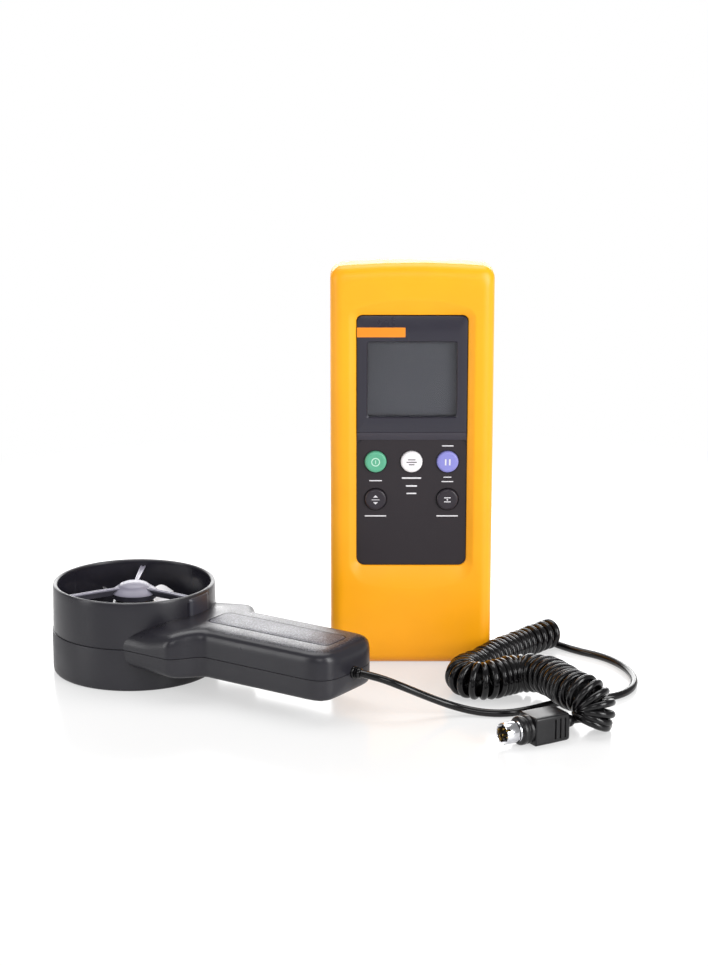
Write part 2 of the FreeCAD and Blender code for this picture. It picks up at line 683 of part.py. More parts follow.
def build_case_screws():
    """Four screws that hold the case halves together."""
    seat = case_back.number - s.case_screw_head_height.number - 0.75
    length = seat - case_front.number - s.case_wall.number - 1.5
    group("case_screws", [
        screw(Vector(x.number, seat, z.number), Vector(0, -1, 0),
              s.case_screw_shank.number / 2, length, s.case_screw_head.number / 2,
              s.case_screw_head_height.number)
        for x, z in case_screw_centres])


# ---------------------------------------------------------------- probe: shared places

probe_turn = Rotation(Vector(0, 0, 1), s.handle_angle.number)
probe_place = Placement(Vector(s.ring_centre_x.number, s.ring_centre_y.number, 0), probe_turn)
collar_end = s.handle_end + s.fit_gap + s.collar_length
cavity_start = s.ring_radius + s.handle_wall
inner_half_width = s.handle_half_width - s.handle_wall
cavity_top = s.handle_top - s.panel_depth - s.handle_wall
cavity_floor = s.handle_base + s.handle_wall
probe_screw_centres = [
    (along, side * across)
    for along, across in ((s.saddle_end + 3.5, s.saddle_half_width - 13.5),
                          (s.handle_end - 11, inner_half_width - s.probe_boss / 2 - 0.8))
    for side in (-1, 1)]
spoke_top = s.ring_height - s.spoke_drop
rotor_centre = s.ring_height - s.rotor_drop
hub_base = rotor_centre - s.rotor_hub_height / 2
hub_head = rotor_centre + s.rotor_hub_height / 2
upper_barrel_base = hub_head + 1
lower_barrel_head = s.guard_foot_gap + 5
sensor_height = s.seam_height + s.sensor_rise


def probe_body(label, z=0):
    """Start a probe sub-part in the probe's own frame, whose X runs along the handle."""
    body = new_body(label, s.ring_centre_x, s.ring_centre_y, z)
    base = body.Placement.Base
    body.Placement = Placement(base, probe_turn)
    return body


def handle_outline(inset, start, saddle_inset):
    """Plan of the saddle and handle, pulled in by inset."""
    saddle = s.saddle_half_width - saddle_inset
    end = s.handle_end - inset
    half = [(start, saddle), (s.saddle_end - inset / 3, saddle - 1.5),
            (s.neck_start + inset / 3, s.handle_half_width - inset),
            (end - 2.5, s.handle_half_width - inset), (end, 9)]
    return [(x, -as_size(y)) for x, y in half] + list(reversed(half))


def upright(edge):
    """Whether an edge is a straight vertical one."""
    box = edge.BoundBox
    return max(box.XLength, box.YLength) < 1e-3


def build_probe_shell(upper):
    """One half of the probe: half of the ring and half of the handle."""
    label = "probe_upper_shell" if upper else "probe_lower_shell"
    body = probe_body(label)
    base = s.seam_height if upper else s.handle_base
    head = s.handle_top if upper else s.seam_height
    sketch = new_sketch(body, "XY", base)
    draw_polygon(sketch, handle_outline(0, s.saddle_start, 0))
    grip = pad(body, sketch, head - base)
    x_limit = s.saddle_end.number - 2
    corners = edges_where(grip, lambda e: upright(e) and e.BoundBox.XMin > x_limit
                          and abs(e.BoundBox.YMin) > 10)
    grip = fillet(body, grip, corners, s.handle_end_corner)
    level = head.number if upper else base.number
    x_start = s.saddle_start.number + 0.01
    rim = edges_where(grip, lambda e: abs(e.BoundBox.ZMin - level) < 1e-3
                      and abs(e.BoundBox.ZMax - level) < 1e-3
                      and e.BoundBox.XMax > x_start)
    fillet(body, grip, rim, s.handle_round if upper else s.handle_round * 0.75)

    if upper:
        add_disc(body, s.seam_height, s.ring_rim_radius, s.ring_height - s.seam_height)
        duct = new_sketch(body, "XY", s.handle_top - 2)
        draw_rounded_rectangle(duct, 6, 10, 1, s.ring_rim_radius - 1, 0)
        pad(body, duct, s.ring_height - s.handle_top)
    else:
        add_disc(body, 0, s.ring_radius, s.seam_height)
    cavity_base = s.seam_height if upper else cavity_floor
    cavity_head = cavity_top if upper else s.seam_height
    cavity = new_sketch(body, "XY", cavity_base)
    draw_polygon(cavity, handle_outline(s.handle_wall, cavity_start, 6))
    pocket(body, cavity, cavity_head - cavity_base, along_normal=True)
    boss_base = s.seam_height if upper else s.handle_base + 1
    boss_head = cavity_top + 1 if upper else s.seam_height
    for x, y in probe_screw_centres:
        add_disc(body, boss_base, s.probe_boss / 2, boss_head - boss_base, x, y)
    if not upper:
        for x in (s.panel_start + 12, s.panel_end - 18):
            rib = new_sketch(body, "XY", s.handle_base + 1)
            draw_rounded_rectangle(rib, 2, 20, 0.5, x, 0)
            pad(body, rib, s.seam_height - 2.1 - s.handle_base - 1)
    for x, y in probe_screw_centres:
        hole_base = s.seam_height if upper else s.handle_base
        hole_head = cavity_top - 1 if upper else s.seam_height
        cut_disc(body, hole_base, s.probe_screw_shank / 2 + s.pin_clearance,
                 hole_head - hole_base, x, y)
        if not upper:
            cut_disc(body, s.handle_base, s.probe_screw_head / 2 + 0.2, 2.2, x, y)
    cut_disc(body, -1, s.ring_bore_radius, s.ring_height + 2)

    exit_hole = new_sketch(body, "YZ", s.handle_end - s.handle_wall - 1)
    draw_circle(exit_hole, 0, s.seam_height, s.collar_diameter / 2 + 0.3)
    pocket(body, exit_hole, s.handle_wall + 2, along_normal=True)
    if upper:
        recess = new_sketch(body, "XY", s.handle_top - s.panel_depth)
        draw_rounded_rectangle(recess, s.panel_end - s.panel_start + 0.3,
                               2 * s.panel_half_width + 0.3, 3.2,
                               (s.panel_end + s.panel_start) / 2, 0)
        pocket(body, recess, s.panel_depth + 1, along_normal=True)
        window = new_sketch(body, "YZ", s.ring_bore_radius - 1)
        draw_circle(window, 0, sensor_height, s.sensor_diameter / 2 + 0.1)
        pocket(body, window, cavity_start - s.ring_bore_radius + 2, along_normal=True)


def build_handle_parts():
    """Grip panel, sensor, its board, the screws and the cord's collar."""
    panel = probe_body("handle_panel")
    sketch = new_sketch(panel, "XY", s.handle_top - s.panel_depth)
    draw_rounded_rectangle(sketch, s.panel_end - s.panel_start, 2 * s.panel_half_width, 3.0,
                           (s.panel_end + s.panel_start) / 2, 0)
    pad(panel, sketch, s.panel_depth)

    sensor = probe_body("pickup_sensor", sensor_height)
    sketch = new_sketch(sensor, "YZ", s.ring_bore_radius + 0.2)
    draw_circle(sketch, 0, 0, s.sensor_diameter / 2)
    pad(sensor, sketch, cavity_start - s.ring_bore_radius + 0.6)

    board = probe_body("sensor_board")
    sketch = new_sketch(board, "XY", s.seam_height - 2)
    draw_rounded_rectangle(sketch, 46, 20, 1, s.panel_start + 28, 0)
    pad(board, sketch, 1.6)

    seat = s.handle_base.number + 2.15
    length = s.seam_height.number + 5 - seat
    screws = [screw(Vector(x.number, y.number, seat), Vector(0, 0, 1),
                    s.probe_screw_shank.number / 2, length, s.probe_screw_head.number / 2, 1.7)
              for x, y in probe_screw_centres]
    group("probe_screws", screws, probe_place)

    collar = probe_body("cord_collar", s.seam_height)
    neck = s.collar_diameter / 2 + 0.2
    wall_in = s.handle_end - s.handle_wall - 0.15
    wall_out = s.handle_end + s.fit_gap
    revolve(collar, "XZ", [
        (wall_in - 1.8, 0), (wall_in - 1.8, neck + 1.2), (wall_in, neck + 1.2),
        (wall_in, neck), (wall_out, neck), (collar_end, s.cord_diameter / 2 + 0.6),
        (collar_end, 0)], "H_Axis")


def add_spokes(body, base):
    """Three spokes from the hub to the ring's bore."""
    sketch = new_sketch(body, "XY", base)
    inner = s.guard_hub_radius - 2.5
    outer = s.ring_bore_radius - 0.1
    half = s.spoke_width / 2
    draw_polygon(sketch, [(inner, -half), (outer, -half), (outer, half), (inner, half)])
    spoke = pad(body, sketch, s.spoke_height)
    pattern = body.newObject("PartDesign::PolarPattern", f"{body.Name}_spokes")
    pattern.Originals = [spoke]
    axis = [item for item in body.Origin.OriginFeatures if item.Role == "Z_Axis"][0]
    pattern.Axis = (axis, [""])
    pattern.Angle = 360
    pattern.Occurrences = int(s.spoke_count.number)
    body.Tip = pattern
    doc.recompute()


def build_guards():
    """Upper guard with its domed cap, lower guard, and the two bearings they hold."""
    pocket_radius = s.bearing_diameter / 2 + s.pin_clearance
    hub = s.guard_hub_radius - 1
    cap = s.guard_cap_radius
    upper_pocket = upper_barrel_base + s.bearing_length + 0.1
    upper = probe_body("upper_guard")
    revolve(upper, "XZ", [
        (0, upper_pocket), (pocket_radius, upper_pocket), (pocket_radius, upper_barrel_base),
        (hub, upper_barrel_base), (hub, spoke_top - 0.9), (s.guard_hub_radius, spoke_top - 0.6),
        (s.guard_hub_radius, spoke_top), (cap, s.ring_height - 1.9),
        (cap - 0.8, s.ring_height - 1.1), (cap - 2.8, s.ring_height - 0.5),
        (0, s.ring_height - 0.15)], "V_Axis")
    add_spokes(upper, spoke_top - s.spoke_height)

    lower_pocket = lower_barrel_head - s.bearing_length - 0.1
    lower = probe_body("lower_guard")
    revolve(lower, "XZ", [
        (0, s.guard_foot_gap), (hub, s.guard_foot_gap), (hub, lower_barrel_head),
        (pocket_radius, lower_barrel_head), (pocket_radius, lower_pocket),
        (0, lower_pocket)], "V_Axis")
    add_spokes(lower, s.guard_foot_gap)

    shaft_bore = s.shaft_diameter / 2 + s.pin_clearance
    for label, base in (("upper_bearing", upper_barrel_base),
                        ("lower_bearing", lower_pocket + 0.1)):
        bearing = probe_body(label)
        add_disc(bearing, base, s.bearing_diameter / 2, s.bearing_length)
        cut_disc(bearing, base, shaft_bore, s.bearing_length)


def blade(angle):
    """One pitched paddle blade with a round tip, turned to its place on the hub."""
    root = s.rotor_hub_radius.number + 0.6
    tip = s.rotor_tip_radius.number
    half = s.blade_chord.number / 2
    straight = tip - half
    root_half = half * 0.6
    edge = Part.Wire([
        Part.makeLine(Vector(root, -root_half, 0), Vector(straight, -half, 0)),
        Part.Arc(Vector(straight, -half, 0), Vector(tip, 0, 0),
                 Vector(straight, half, 0)).toShape(),
        Part.makeLine(Vector(straight, half, 0), Vector(root, root_half, 0)),
        Part.makeLine(Vector(root, root_half, 0), Vector(root, -root_half, 0))])
    thickness = s.blade_thickness.number
    plate = Part.Face(edge).extrude(Vector(0, 0, thickness))
    plate.translate(Vector(0, 0, rotor_centre.number - thickness / 2))
    centre = Vector(0, 0, rotor_centre.number)
    plate.rotate(centre, Vector(1, 0, 0), s.blade_pitch.number)
    plate.rotate(Vector(), Vector(0, 0, 1), angle)
    return plate


def build_rotor():
    """Vane wheel: dark hub, ring of pale blades round it, and its steel shaft."""
    hub = probe_body("rotor_hub")
    add_disc(hub, hub_base, s.rotor_hub_radius, s.rotor_hub_height)
    cut_disc(hub, hub_base, s.shaft_diameter / 2 + 0.02, s.rotor_hub_height)

    sleeve_in = s.rotor_hub_radius.number + 0.02
    sleeve_height = s.blade_chord.number * 0.7
    sleeve_base = Vector(0, 0, rotor_centre.number - sleeve_height / 2)
    sleeve = Part.makeCylinder(sleeve_in + 1, sleeve_height, sleeve_base)
    count = int(s.blade_count.number)
    first = -s.handle_angle.number
    wheel = sleeve.fuse([blade(first + 360 / count * i) for i in range(count)])
    wheel = wheel.cut(Part.makeCylinder(sleeve_in, sleeve_height + 8,
                                        sleeve_base - Vector(0, 0, 4)))
    group("rotor_blades", [wheel.removeSplitter()], probe_place)

    shaft = probe_body("rotor_shaft")
    shaft_base = lower_barrel_head - s.bearing_length + 0.2
    shaft_head = upper_barrel_base + s.bearing_length - 0.2
    add_disc(shaft, shaft_base, s.shaft_diameter / 2, shaft_head - shaft_base)


# ---------------------------------------------------------------- cord and plug

PLUG_TIP = (34.8, -126.7)
PLUG_ANGLE = 30.0
LEAD_ROUTE = [
    (-4.5, -93.4, 14.8), (7.0, -88.8, 8.4), (17.8, -86.0, 3.4), (28.5, -88.0, 1.65),
    (39.0, -89.2, 1.65), (49.4, -84.0, 1.65), (58.8, -76.4, 1.65), (68.8, -71.4, 1.65),
    (79.4, -70.0, 1.65), (89.0, -65.6, 1.65), (95.4, -56.6, 1.65), (98.0, -44.6, 1.65),
    (96.8, -31.8, 1.65), (92.4, -19.6, 1.65), (85.2, -9.6, 1.65), (76.0, -3.0, 1.65),
    (66.4, 3.4, 1.9),
]
COIL_ROUTE = [
    (65.6, 8.8, 6.9), (56.4, -1.6, 6.9), (46.4, -14.0, 6.9), (37.4, -27.0, 6.9),
    (28.8, -41.2, 6.9), (21.2, -53.8, 6.9), (22.2, -61.9, 6.9), (28.0, -67.2, 6.9),
    (35.0, -67.2, 6.9), (41.2, -62.8, 7.4), (46.4, -60.4, 8.8), (52.2, -61.2, 10.8),
    (57.2, -65.2, 12.8), (60.4, -71.2, 13.8), (62.8, -80.6, 13.8), (66.2, -89.4, 13.2),
    (70.8, -95.2, 11.8), (75.8, -98.9, 10.2), (79.0, -103.2, 8.8), (79.0, -108.2, 7.6),
    (75.9, -111.9, 7.0), (71.3, -112.9, 6.9), (67.4, -110.8, 6.9),
]


def plan_direction(degrees):
    """Unit vector in plan at an angle from +X."""
    turn = math.radians(degrees)
    return Vector(math.cos(turn), math.sin(turn), 0)


def cord_tube(label, points, diameter):
    """A tube of straight runs joined by arcs as large as the runs allow."""
    edges, radii = [], []
    start = points[0]
    for before, corner, after in zip(points, points[1:], points[2:]):
        run_in, run_out = corner - before, after - corner
        turn = run_in.getAngle(run_out)
        shorter = min(run_in.Length, run_out.Length)
        radius = 0.45 * shorter / math.tan(turn / 2)
        radii.append(radius)
        reach = 0.45 * shorter
        direction_in = Vector(run_in).normalize()
        direction_out = Vector(run_out).normalize()
        arc_start = corner - direction_in * reach
        arc_end = corner + direction_out * reach
        inward = (direction_out - direction_in).normalize()
        sag = radius * (1 / math.cos(turn / 2) - 1)
        edges.append(Part.LineSegment(start, arc_start).toShape())
        edges.append(Part.Arc(arc_start, corner + inward * sag, arc_end).toShape())
        start = arc_end
    edges.append(Part.LineSegment(start, points[-1]).toShape())
    path = Part.Wire(edges)
    length = path.Length
    circle = Part.Circle(points[0], points[1] - points[0], diameter / 2)
    profile = Part.Wire([circle.toShape()])
    solid = path.makePipeShell([profile], True, True)
    expected = math.pi * diameter ** 2 / 4 * length
    print(f"{label}: length {length:.1f}, volume ratio {solid.Volume / expected:.4f}, "
          f"radii {', '.join(f'{radius:.1f}' for radius in radii)}")
    group(label, [solid])


def build_cord():
    """Lead from the handle to the coil, and the curly part as one fat tube."""
    along = plan_direction(s.handle_angle.number)
    ring = Vector(s.ring_centre_x.number, s.ring_centre_y.number, s.seam_height.number)
    leave = ring + along * collar_end.number
    lead = [leave, leave + along * 8.5] + [Vector(*point) for point in LEAD_ROUTE]
    cord_tube("cord_lead", lead, s.cord_diameter.number)
    cord_tube("cord_coil", [Vector(*point) for point in COIL_ROUTE], s.coil_diameter.number)


def plug_body_at(label):
    """Start a plug sub-part in the plug's frame, whose X runs back from the tip."""
    body = new_body(label, PLUG_TIP[0], PLUG_TIP[1], s.plug_body_height / 2)
    body.Placement = Placement(body.Placement.Base, Rotation(Vector(0, 0, 1), PLUG_ANGLE))
    return body


def build_plug():
    """Round multi-pin plug: shell, insert, pins and moulded body with strain relief."""
    shell = plug_body_at("plug_shell")
    sketch = new_sketch(shell, "YZ")
    draw_circle(sketch, 0, 0, s.plug_shell_diameter / 2)
    draw_circle(sketch, 0, 0, s.plug_shell_diameter / 2 - s.plug_shell_wall)
    pad(shell, sketch, s.plug_shell_length)

    insert = plug_body_at("plug_insert")
    sketch = new_sketch(insert, "YZ", s.plug_recess)
    draw_circle(sketch, 0, 0, s.plug_shell_diameter / 2 - s.plug_shell_wall - 0.05)
    pad(insert, sketch, s.plug_shell_length - s.plug_recess)

    place = Placement(Vector(PLUG_TIP[0], PLUG_TIP[1], s.plug_body_height.number / 2),
                      Rotation(Vector(0, 0, 1), PLUG_ANGLE))
    setback = s.plug_pin_setback.number
    pins = [Part.makeCylinder(s.plug_pin_diameter.number / 2, s.plug_recess.number - setback,
                              Vector(setback, y, z), Vector(1, 0, 0)) for y, z in pin_centres]
    group("plug_pins", pins, place)

    body = plug_body_at("plug_body")
    sketch = new_sketch(body, "YZ", s.plug_shell_length + s.plug_nose_length)
    draw_rounded_rectangle(sketch, s.plug_body_width, s.plug_body_height,
                           s.plug_body_corner)
    pad(body, sketch, s.plug_body_length)
    nose = new_sketch(body, "YZ", s.plug_shell_length)
    draw_circle(nose, 0, 0, s.plug_nose_diameter / 2)
    pad(body, nose, s.plug_nose_length + 1)
    relief = new_sketch(body, "YZ", s.plug_shell_length + s.plug_nose_length
                        + s.plug_body_length - 1)
    draw_circle(relief, 0, 0, s.plug_relief_diameter / 2)
    pad(body, relief, s.plug_relief_length + 1)


build_holster()
build_front_case()
stand_pin_reach = build_rear_case()
build_display()
build_keypad()
build_electronics()
build_battery()
build_stand(stand_pin_reach)
build_case_screws()
for upper_half in (False, True):
    build_probe_shell(upper_half)
build_handle_parts()
build_guards()
build_rotor()
build_cord()
build_plug()
doc.recompute()

# ---------------------------------------------------------------- check and write

failed = [item.Label for item in doc.Objects if {"Invalid", "Error"} & set(item.State)]
failed += [part.Label for part in sub_parts if part.Shape.isNull() or not part.Shape.isValid()]
if failed:
    raise RuntimeError(f"failed: {', '.join(failed)}")
os.makedirs("parts", exist_ok=True)
for part in sub_parts:
    part.Shape.exportStep(f"parts/{part.Label}.step")
print(f"{len(sub_parts)} sub-parts written")
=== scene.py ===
import json
import math

import bmesh
import bpy
import numpy as np
from mathutils import Matrix, Vector


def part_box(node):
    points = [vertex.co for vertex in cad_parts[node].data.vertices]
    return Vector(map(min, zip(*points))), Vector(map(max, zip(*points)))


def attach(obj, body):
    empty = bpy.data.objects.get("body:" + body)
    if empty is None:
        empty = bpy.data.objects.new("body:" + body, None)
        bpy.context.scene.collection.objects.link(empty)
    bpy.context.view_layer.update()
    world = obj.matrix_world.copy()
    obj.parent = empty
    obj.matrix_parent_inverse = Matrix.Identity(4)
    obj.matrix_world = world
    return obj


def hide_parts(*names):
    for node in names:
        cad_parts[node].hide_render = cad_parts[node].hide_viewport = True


# Looks of the handheld weather meter. Metres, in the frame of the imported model: the origin is
# the centre of the meter's base, +Z up, and the meter's face looks along -Y. Lengths below are
# written in millimetres and turned into metres by MM or mm().

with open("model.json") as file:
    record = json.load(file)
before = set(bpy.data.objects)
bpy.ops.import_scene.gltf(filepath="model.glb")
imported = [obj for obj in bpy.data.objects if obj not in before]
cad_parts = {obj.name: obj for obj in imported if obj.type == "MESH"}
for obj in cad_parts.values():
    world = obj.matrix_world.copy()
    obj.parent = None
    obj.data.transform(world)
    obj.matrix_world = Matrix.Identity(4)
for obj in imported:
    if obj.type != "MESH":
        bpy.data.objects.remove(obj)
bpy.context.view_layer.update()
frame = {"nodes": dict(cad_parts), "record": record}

MM = 0.001


def mm(*values):
    """Millimetres to a vector in metres."""
    return Vector(values) * MM


# ---------------------------------------------------------------- materials


def srgb(red, green, blue):
    """A colour as it looks, 0 to 255, turned into linear light with full alpha."""
    def linear(value):
        value /= 255
        return value / 12.92 if value <= 0.04045 else ((value + 0.055) / 1.055) ** 2.4
    return (linear(red), linear(green), linear(blue), 1.0)


def add_node(nodes, kind, **inputs):
    """A new shader node with inputs set, an underscore standing for a space in their names."""
    node = nodes.new("ShaderNode" + kind)
    for name, value in inputs.items():
        node.inputs[name.replace("_", " ")].default_value = value
    return node


class Surface:
    """A Principled material with its own procedural textures, in object coordinates."""

    def __init__(self, name, colour, roughness, metallic=0.0, coat=0.0, specular=0.36):
        self.material = bpy.data.materials.new(name)
        self.material.use_nodes = True
        self.nodes = self.material.node_tree.nodes
        self.links = self.material.node_tree.links
        self.shader = self.nodes["Principled BSDF"]
        for socket, value in (("Base Color", colour), ("Roughness", roughness),
                              ("Metallic", metallic), ("Coat Weight", coat),
                              ("Coat Roughness", 0.12), ("Specular IOR Level", specular)):
            self.shader.inputs[socket].default_value = value
        self.colour = colour
        self.roughness = roughness
        self.coordinates = add_node(self.nodes, "TexCoord")
        self.height = None

    def noise(self, scale, detail=3.0, roughness=0.55):
        """Fractal noise, scale being its cells per metre."""
        node = add_node(self.nodes, "TexNoise", Scale=scale, Detail=detail, Roughness=roughness)
        self.links.new(self.coordinates.outputs["Object"], node.inputs["Vector"])
        return node.outputs["Fac"]

    def spread(self, source, low, high, start=0.3, end=0.7):
        """Spread a texture's usual range over low to high."""
        node = add_node(self.nodes, "MapRange", From_Min=start, From_Max=end, To_Min=low,
                        To_Max=high)
        self.links.new(source, node.inputs["Value"])
        return node.outputs["Result"]

    def tint(self, factor, colour):
        """Mix another colour in by a 0 to 1 factor."""
        node = add_node(self.nodes, "Mix")
        node.data_type = "RGBA"
        base = self.shader.inputs["Base Color"]
        if base.is_linked:
            self.links.new(base.links[0].from_socket, node.inputs["A"])
        else:
            node.inputs["A"].default_value = self.colour
        node.inputs["B"].default_value = colour
        self.links.new(factor, node.inputs["Factor"])
        self.links.new(node.outputs["Result"], base)
        return self

    def vary(self, amount, scale=35.0):
        """Slightly uneven colour and gloss, as on a handled moulding."""
        red, green, blue, _ = self.colour
        darker = (red * (1 - amount), green * (1 - amount), blue * (1 - amount), 1.0)
        cloud = self.noise(scale)
        self.tint(self.spread(cloud, 0.0, 1.0), darker)
        smear = self.noise(scale * 2.3, detail=5.0)
        gloss = self.spread(smear, self.roughness * 0.88, min(1.0, self.roughness * 1.15))
        self.links.new(gloss, self.shader.inputs["Roughness"])
        return self

    def grain(self, scale, depth):
        """Moulded grain of so many cells per metre and so deep, in millimetres."""
        self.add_height(self.noise(scale, detail=2.0), depth)
        return self

    def add_height(self, source, depth):
        """Bump from a 0 to 1 height, chained on any bump that is there already."""
        node = add_node(self.nodes, "Bump", Strength=1.0, Distance=depth * MM)
        self.links.new(source, node.inputs["Height"])
        if self.height is not None:
            self.links.new(self.height, node.inputs["Normal"])
        self.height = node.outputs["Normal"]
        self.links.new(self.height, self.shader.inputs["Normal"])

    def part_of(self, vector, axis):
        """The X, Y or Z of a vector output."""
        split = add_node(self.nodes, "SeparateXYZ")
        self.links.new(vector, split.inputs["Vector"])
        return split.outputs[axis]

    def facing_up(self, start, end):
        """0 where the normal's Z is start or less, 1 where it is end or more."""
        normal = add_node(self.nodes, "NewGeometry").outputs["Normal"]
        return self.spread(self.part_of(normal, "Z"), 0.0, 1.0, start, end)

    def product(self, first, second):
        """One factor times another."""
        node = add_node(self.nodes, "Math")
        node.operation = "MULTIPLY"
        for socket, value in zip(node.inputs, (first, second)):
            self.links.new(value, socket)
        return node.outputs["Value"]


def moulded(name, colour, roughness, grain=0.006, grain_scale=3200.0, **look):
    """Injection-moulded plastic or rubber with a fine grain."""
    return Surface(name, colour, roughness, **look).vary(0.07).grain(grain_scale, grain)


def make_materials():
    """Every material of the object, by name."""
    looks = {}
    rubber = moulded("holster_rubber", srgb(253, 172, 6), 0.4, grain=0.01,
                     grain_scale=2600.0, specular=0.42)
    rubber.tint(rubber.spread(rubber.noise(9.0), 0.0, 0.35), srgb(250, 156, 4))
    looks["holster"] = rubber
    for key, name, colour, roughness, grain in (
            # The lip's lighter grey is the display panel's plastic with a painted reflection of
            # the floor on its down-facing band.
            ("lip", "panel_lip_painted_reflection", (60, 57, 66), 0.38, 0.003),
            ("label", "keypad_print", (38, 32, 37), 0.45, 0.008),
            ("print_white", "print_white", (222, 220, 224), 0.5, 0.002),
            ("print_dark", "print_dark", (70, 66, 70), 0.5, 0.002),
            ("strip", "strip_orange", (238, 140, 28), 0.4, 0.003),
            ("green", "key_green", (92, 172, 138), 0.34, 0.004),
            ("pale_green", "key_symbol", (186, 226, 206), 0.4, 0.002),
            ("white", "key_white", (238, 235, 238), 0.33, 0.004),
            ("violet", "key_violet", (138, 138, 208), 0.34, 0.004),
            ("dark_key", "key_dark", (44, 39, 46), 0.34, 0.004),
            ("liquid_crystal", "liquid_crystal", (78, 79, 84), 0.35, 0.001),
            ("silicone", "silicone_grey", (120, 120, 124), 0.6, 0.006),
            ("board", "board_green", (22, 92, 52), 0.35, 0.006),
            ("black", "plastic_black", (16, 15, 17), 0.42, 0.006),
            ("bore", "bore_black", (34, 33, 40), 0.2, 0.002),
            ("guard", "guard_grey", (128, 126, 140), 0.34, 0.004),
            # A darker copy of the guard grey: painted shade on the guard parts under its cap and
            # spoke tops.
            ("barrel", "guard_painted_shade", (44, 43, 52), 0.36, 0.004),
            ("blade", "blade_white", (236, 236, 240), 0.3, 0.003)):
        looks[key] = moulded(name, srgb(*colour), roughness, grain)
    looks["case"] = moulded("case_plastic", srgb(40, 38, 43), 0.5, 0.02, 1900.0)
    looks["panel"] = moulded("display_panel", srgb(38, 36, 48), 0.3, 0.002, coat=0.25)
    looks["jacket"] = moulded("battery_jacket", srgb(34, 34, 40), 0.3, metallic=0.3)
    looks["probe_lower"] = moulded("probe_lower_plastic", srgb(42, 41, 46), 0.4, 0.008, 2200.0)
    looks["cord"] = moulded("cord_black", srgb(9, 8, 10), 0.2, 0.003, 900.0)
    looks["plug"] = moulded("plug_black", srgb(13, 12, 15), 0.34, 0.01, 2400.0)
    # Faces of these two that look up get the real spark texture, with pale specks of painted
    # sheen.
    looks["probe_upper"] = speckled_with_painted_sheen("probe_upper_plastic", srgb(36, 35, 41), 0.3, -88 * MM)
    looks["probe_panel"] = speckled_with_painted_sheen("probe_panel_plastic", srgb(52, 52, 60), 0.34)
    looks["zinc"] = brushed("zinc_steel", srgb(178, 178, 182), 0.34)
    looks["chrome"] = brushed("polished_steel", srgb(214, 214, 218), 0.16)
    looks["brass"] = brushed("brass", srgb(206, 168, 88), 0.3)
    lens = Surface("lens_clear", srgb(250, 250, 252), 0.04)
    lens.shader.inputs["Transmission Weight"].default_value = 1.0
    lens.shader.inputs["IOR"].default_value = 1.2
    looks["lens"] = lens.vary(0.01)
    return {key: surface.material for key, surface in looks.items()}


def brushed(name, colour, roughness):
    """Plated or polished metal with faint wear."""
    return Surface(name, colour, roughness, metallic=1.0).vary(0.08, 120.0).grain(1500.0, 0.002)


def speckled_with_painted_sheen(name, colour, roughness, start=None):
    """Smooth plastic, spark-textured where it faces up, and beyond x = start if given. The specks
    there are tinted pale as painted sheen of the light those tops catch.
    """
    surface = Surface(name, colour, roughness).vary(0.06)
    up = surface.facing_up(0.9, 0.985)
    if start is not None:
        x = surface.part_of(surface.coordinates.outputs["Object"], "X")
        up = surface.product(up, surface.spread(x, 0.0, 1.0, start, start + 10 * MM))
    pits = surface.noise(1500.0, detail=2.0, roughness=0.7)
    # Pale specks on faces that look up: the spark texture is real, their paleness is painted
    # sheen.
    red, green, blue, _ = colour
    pale = (red * 3.0 + 0.1, green * 3.0 + 0.098, blue * 3.0 + 0.115, 1.0)
    surface.tint(surface.product(up, surface.spread(pits, 0.0, 0.75, 0.48, 0.66)), pale)
    surface.add_height(surface.product(up, pits), 0.12)
    return surface


looks = make_materials()


# ---------------------------------------------------------------- mesh helpers


def new_object(name, data):
    """An object in the scene's collection."""
    thing = bpy.data.objects.new(name, data)
    bpy.context.scene.collection.objects.link(thing)
    return thing


def round_edges(piece, width):
    """Round edges of over 30 degrees by a width in millimetres."""
    rounding = piece.modifiers.new("rounding", "BEVEL")
    rounding.width = width * MM
    rounding.segments = 3
    rounding.limit_method = "ANGLE"
    rounding.angle_limit = math.radians(30)
    rounding.harden_normals = False


def as_piece(name, vertices, faces, look, sharp=35.0):
    """A mesh object with soft shading, and edges over so many degrees left sharp."""
    mesh = bpy.data.meshes.new(name)
    mesh.from_pydata([tuple(v) for v in vertices], [], [tuple(f) for f in faces])
    mesh.validate()
    tidy = bmesh.new()
    tidy.from_mesh(mesh)
    bmesh.ops.remove_doubles(tidy, verts=tidy.verts, dist=1e-7)
    bmesh.ops.recalc_face_normals(tidy, faces=tidy.faces)
    tidy.to_mesh(mesh)
    tidy.free()
    mesh.materials.append(looks[look])
    mesh.shade_smooth()
    mesh.set_sharp_from_angle(angle=math.radians(sharp))
    return new_object(name, mesh)


def settle(piece, sharp=35.0):
    """Apply the piece's modifiers and keep its shading."""
    graph = bpy.context.evaluated_depsgraph_get()
    mesh = bpy.data.meshes.new_from_object(piece.evaluated_get(graph))
    piece.modifiers.clear()
    piece.data = mesh
    mesh.shade_smooth()
    mesh.set_sharp_from_angle(angle=math.radians(sharp))
    return piece


def carve(piece, *cutters):
    """Cut the cutters out of the piece, and remove them."""
    for cutter in cutters:
        cut = piece.modifiers.new("carve", "BOOLEAN")
        cut.object = cutter
        cut.operation = "DIFFERENCE"
        cut.solver = "EXACT"
    settle(piece)
    for cutter in cutters:
        bpy.data.objects.remove(cutter)
    return piece


def loft(loops, closed=False):
    """Join equal loops of points into a skin, whose ends are capped or joined to each other."""
    count = len(loops[0])
    vertices = [point for loop in loops for point in loop]
    faces = []
    rings = len(loops) if closed else len(loops) - 1
    for i in range(rings):
        here, there = i * count, (i + 1) % len(loops) * count
        for j in range(count):
            k = (j + 1) % count
            faces.append((here + j, here + k, there + k, there + j))
    if not closed:
        faces.append(tuple(range(count)))
        faces.append(tuple(range((len(loops) - 1) * count, len(loops) * count)))
    return vertices, faces


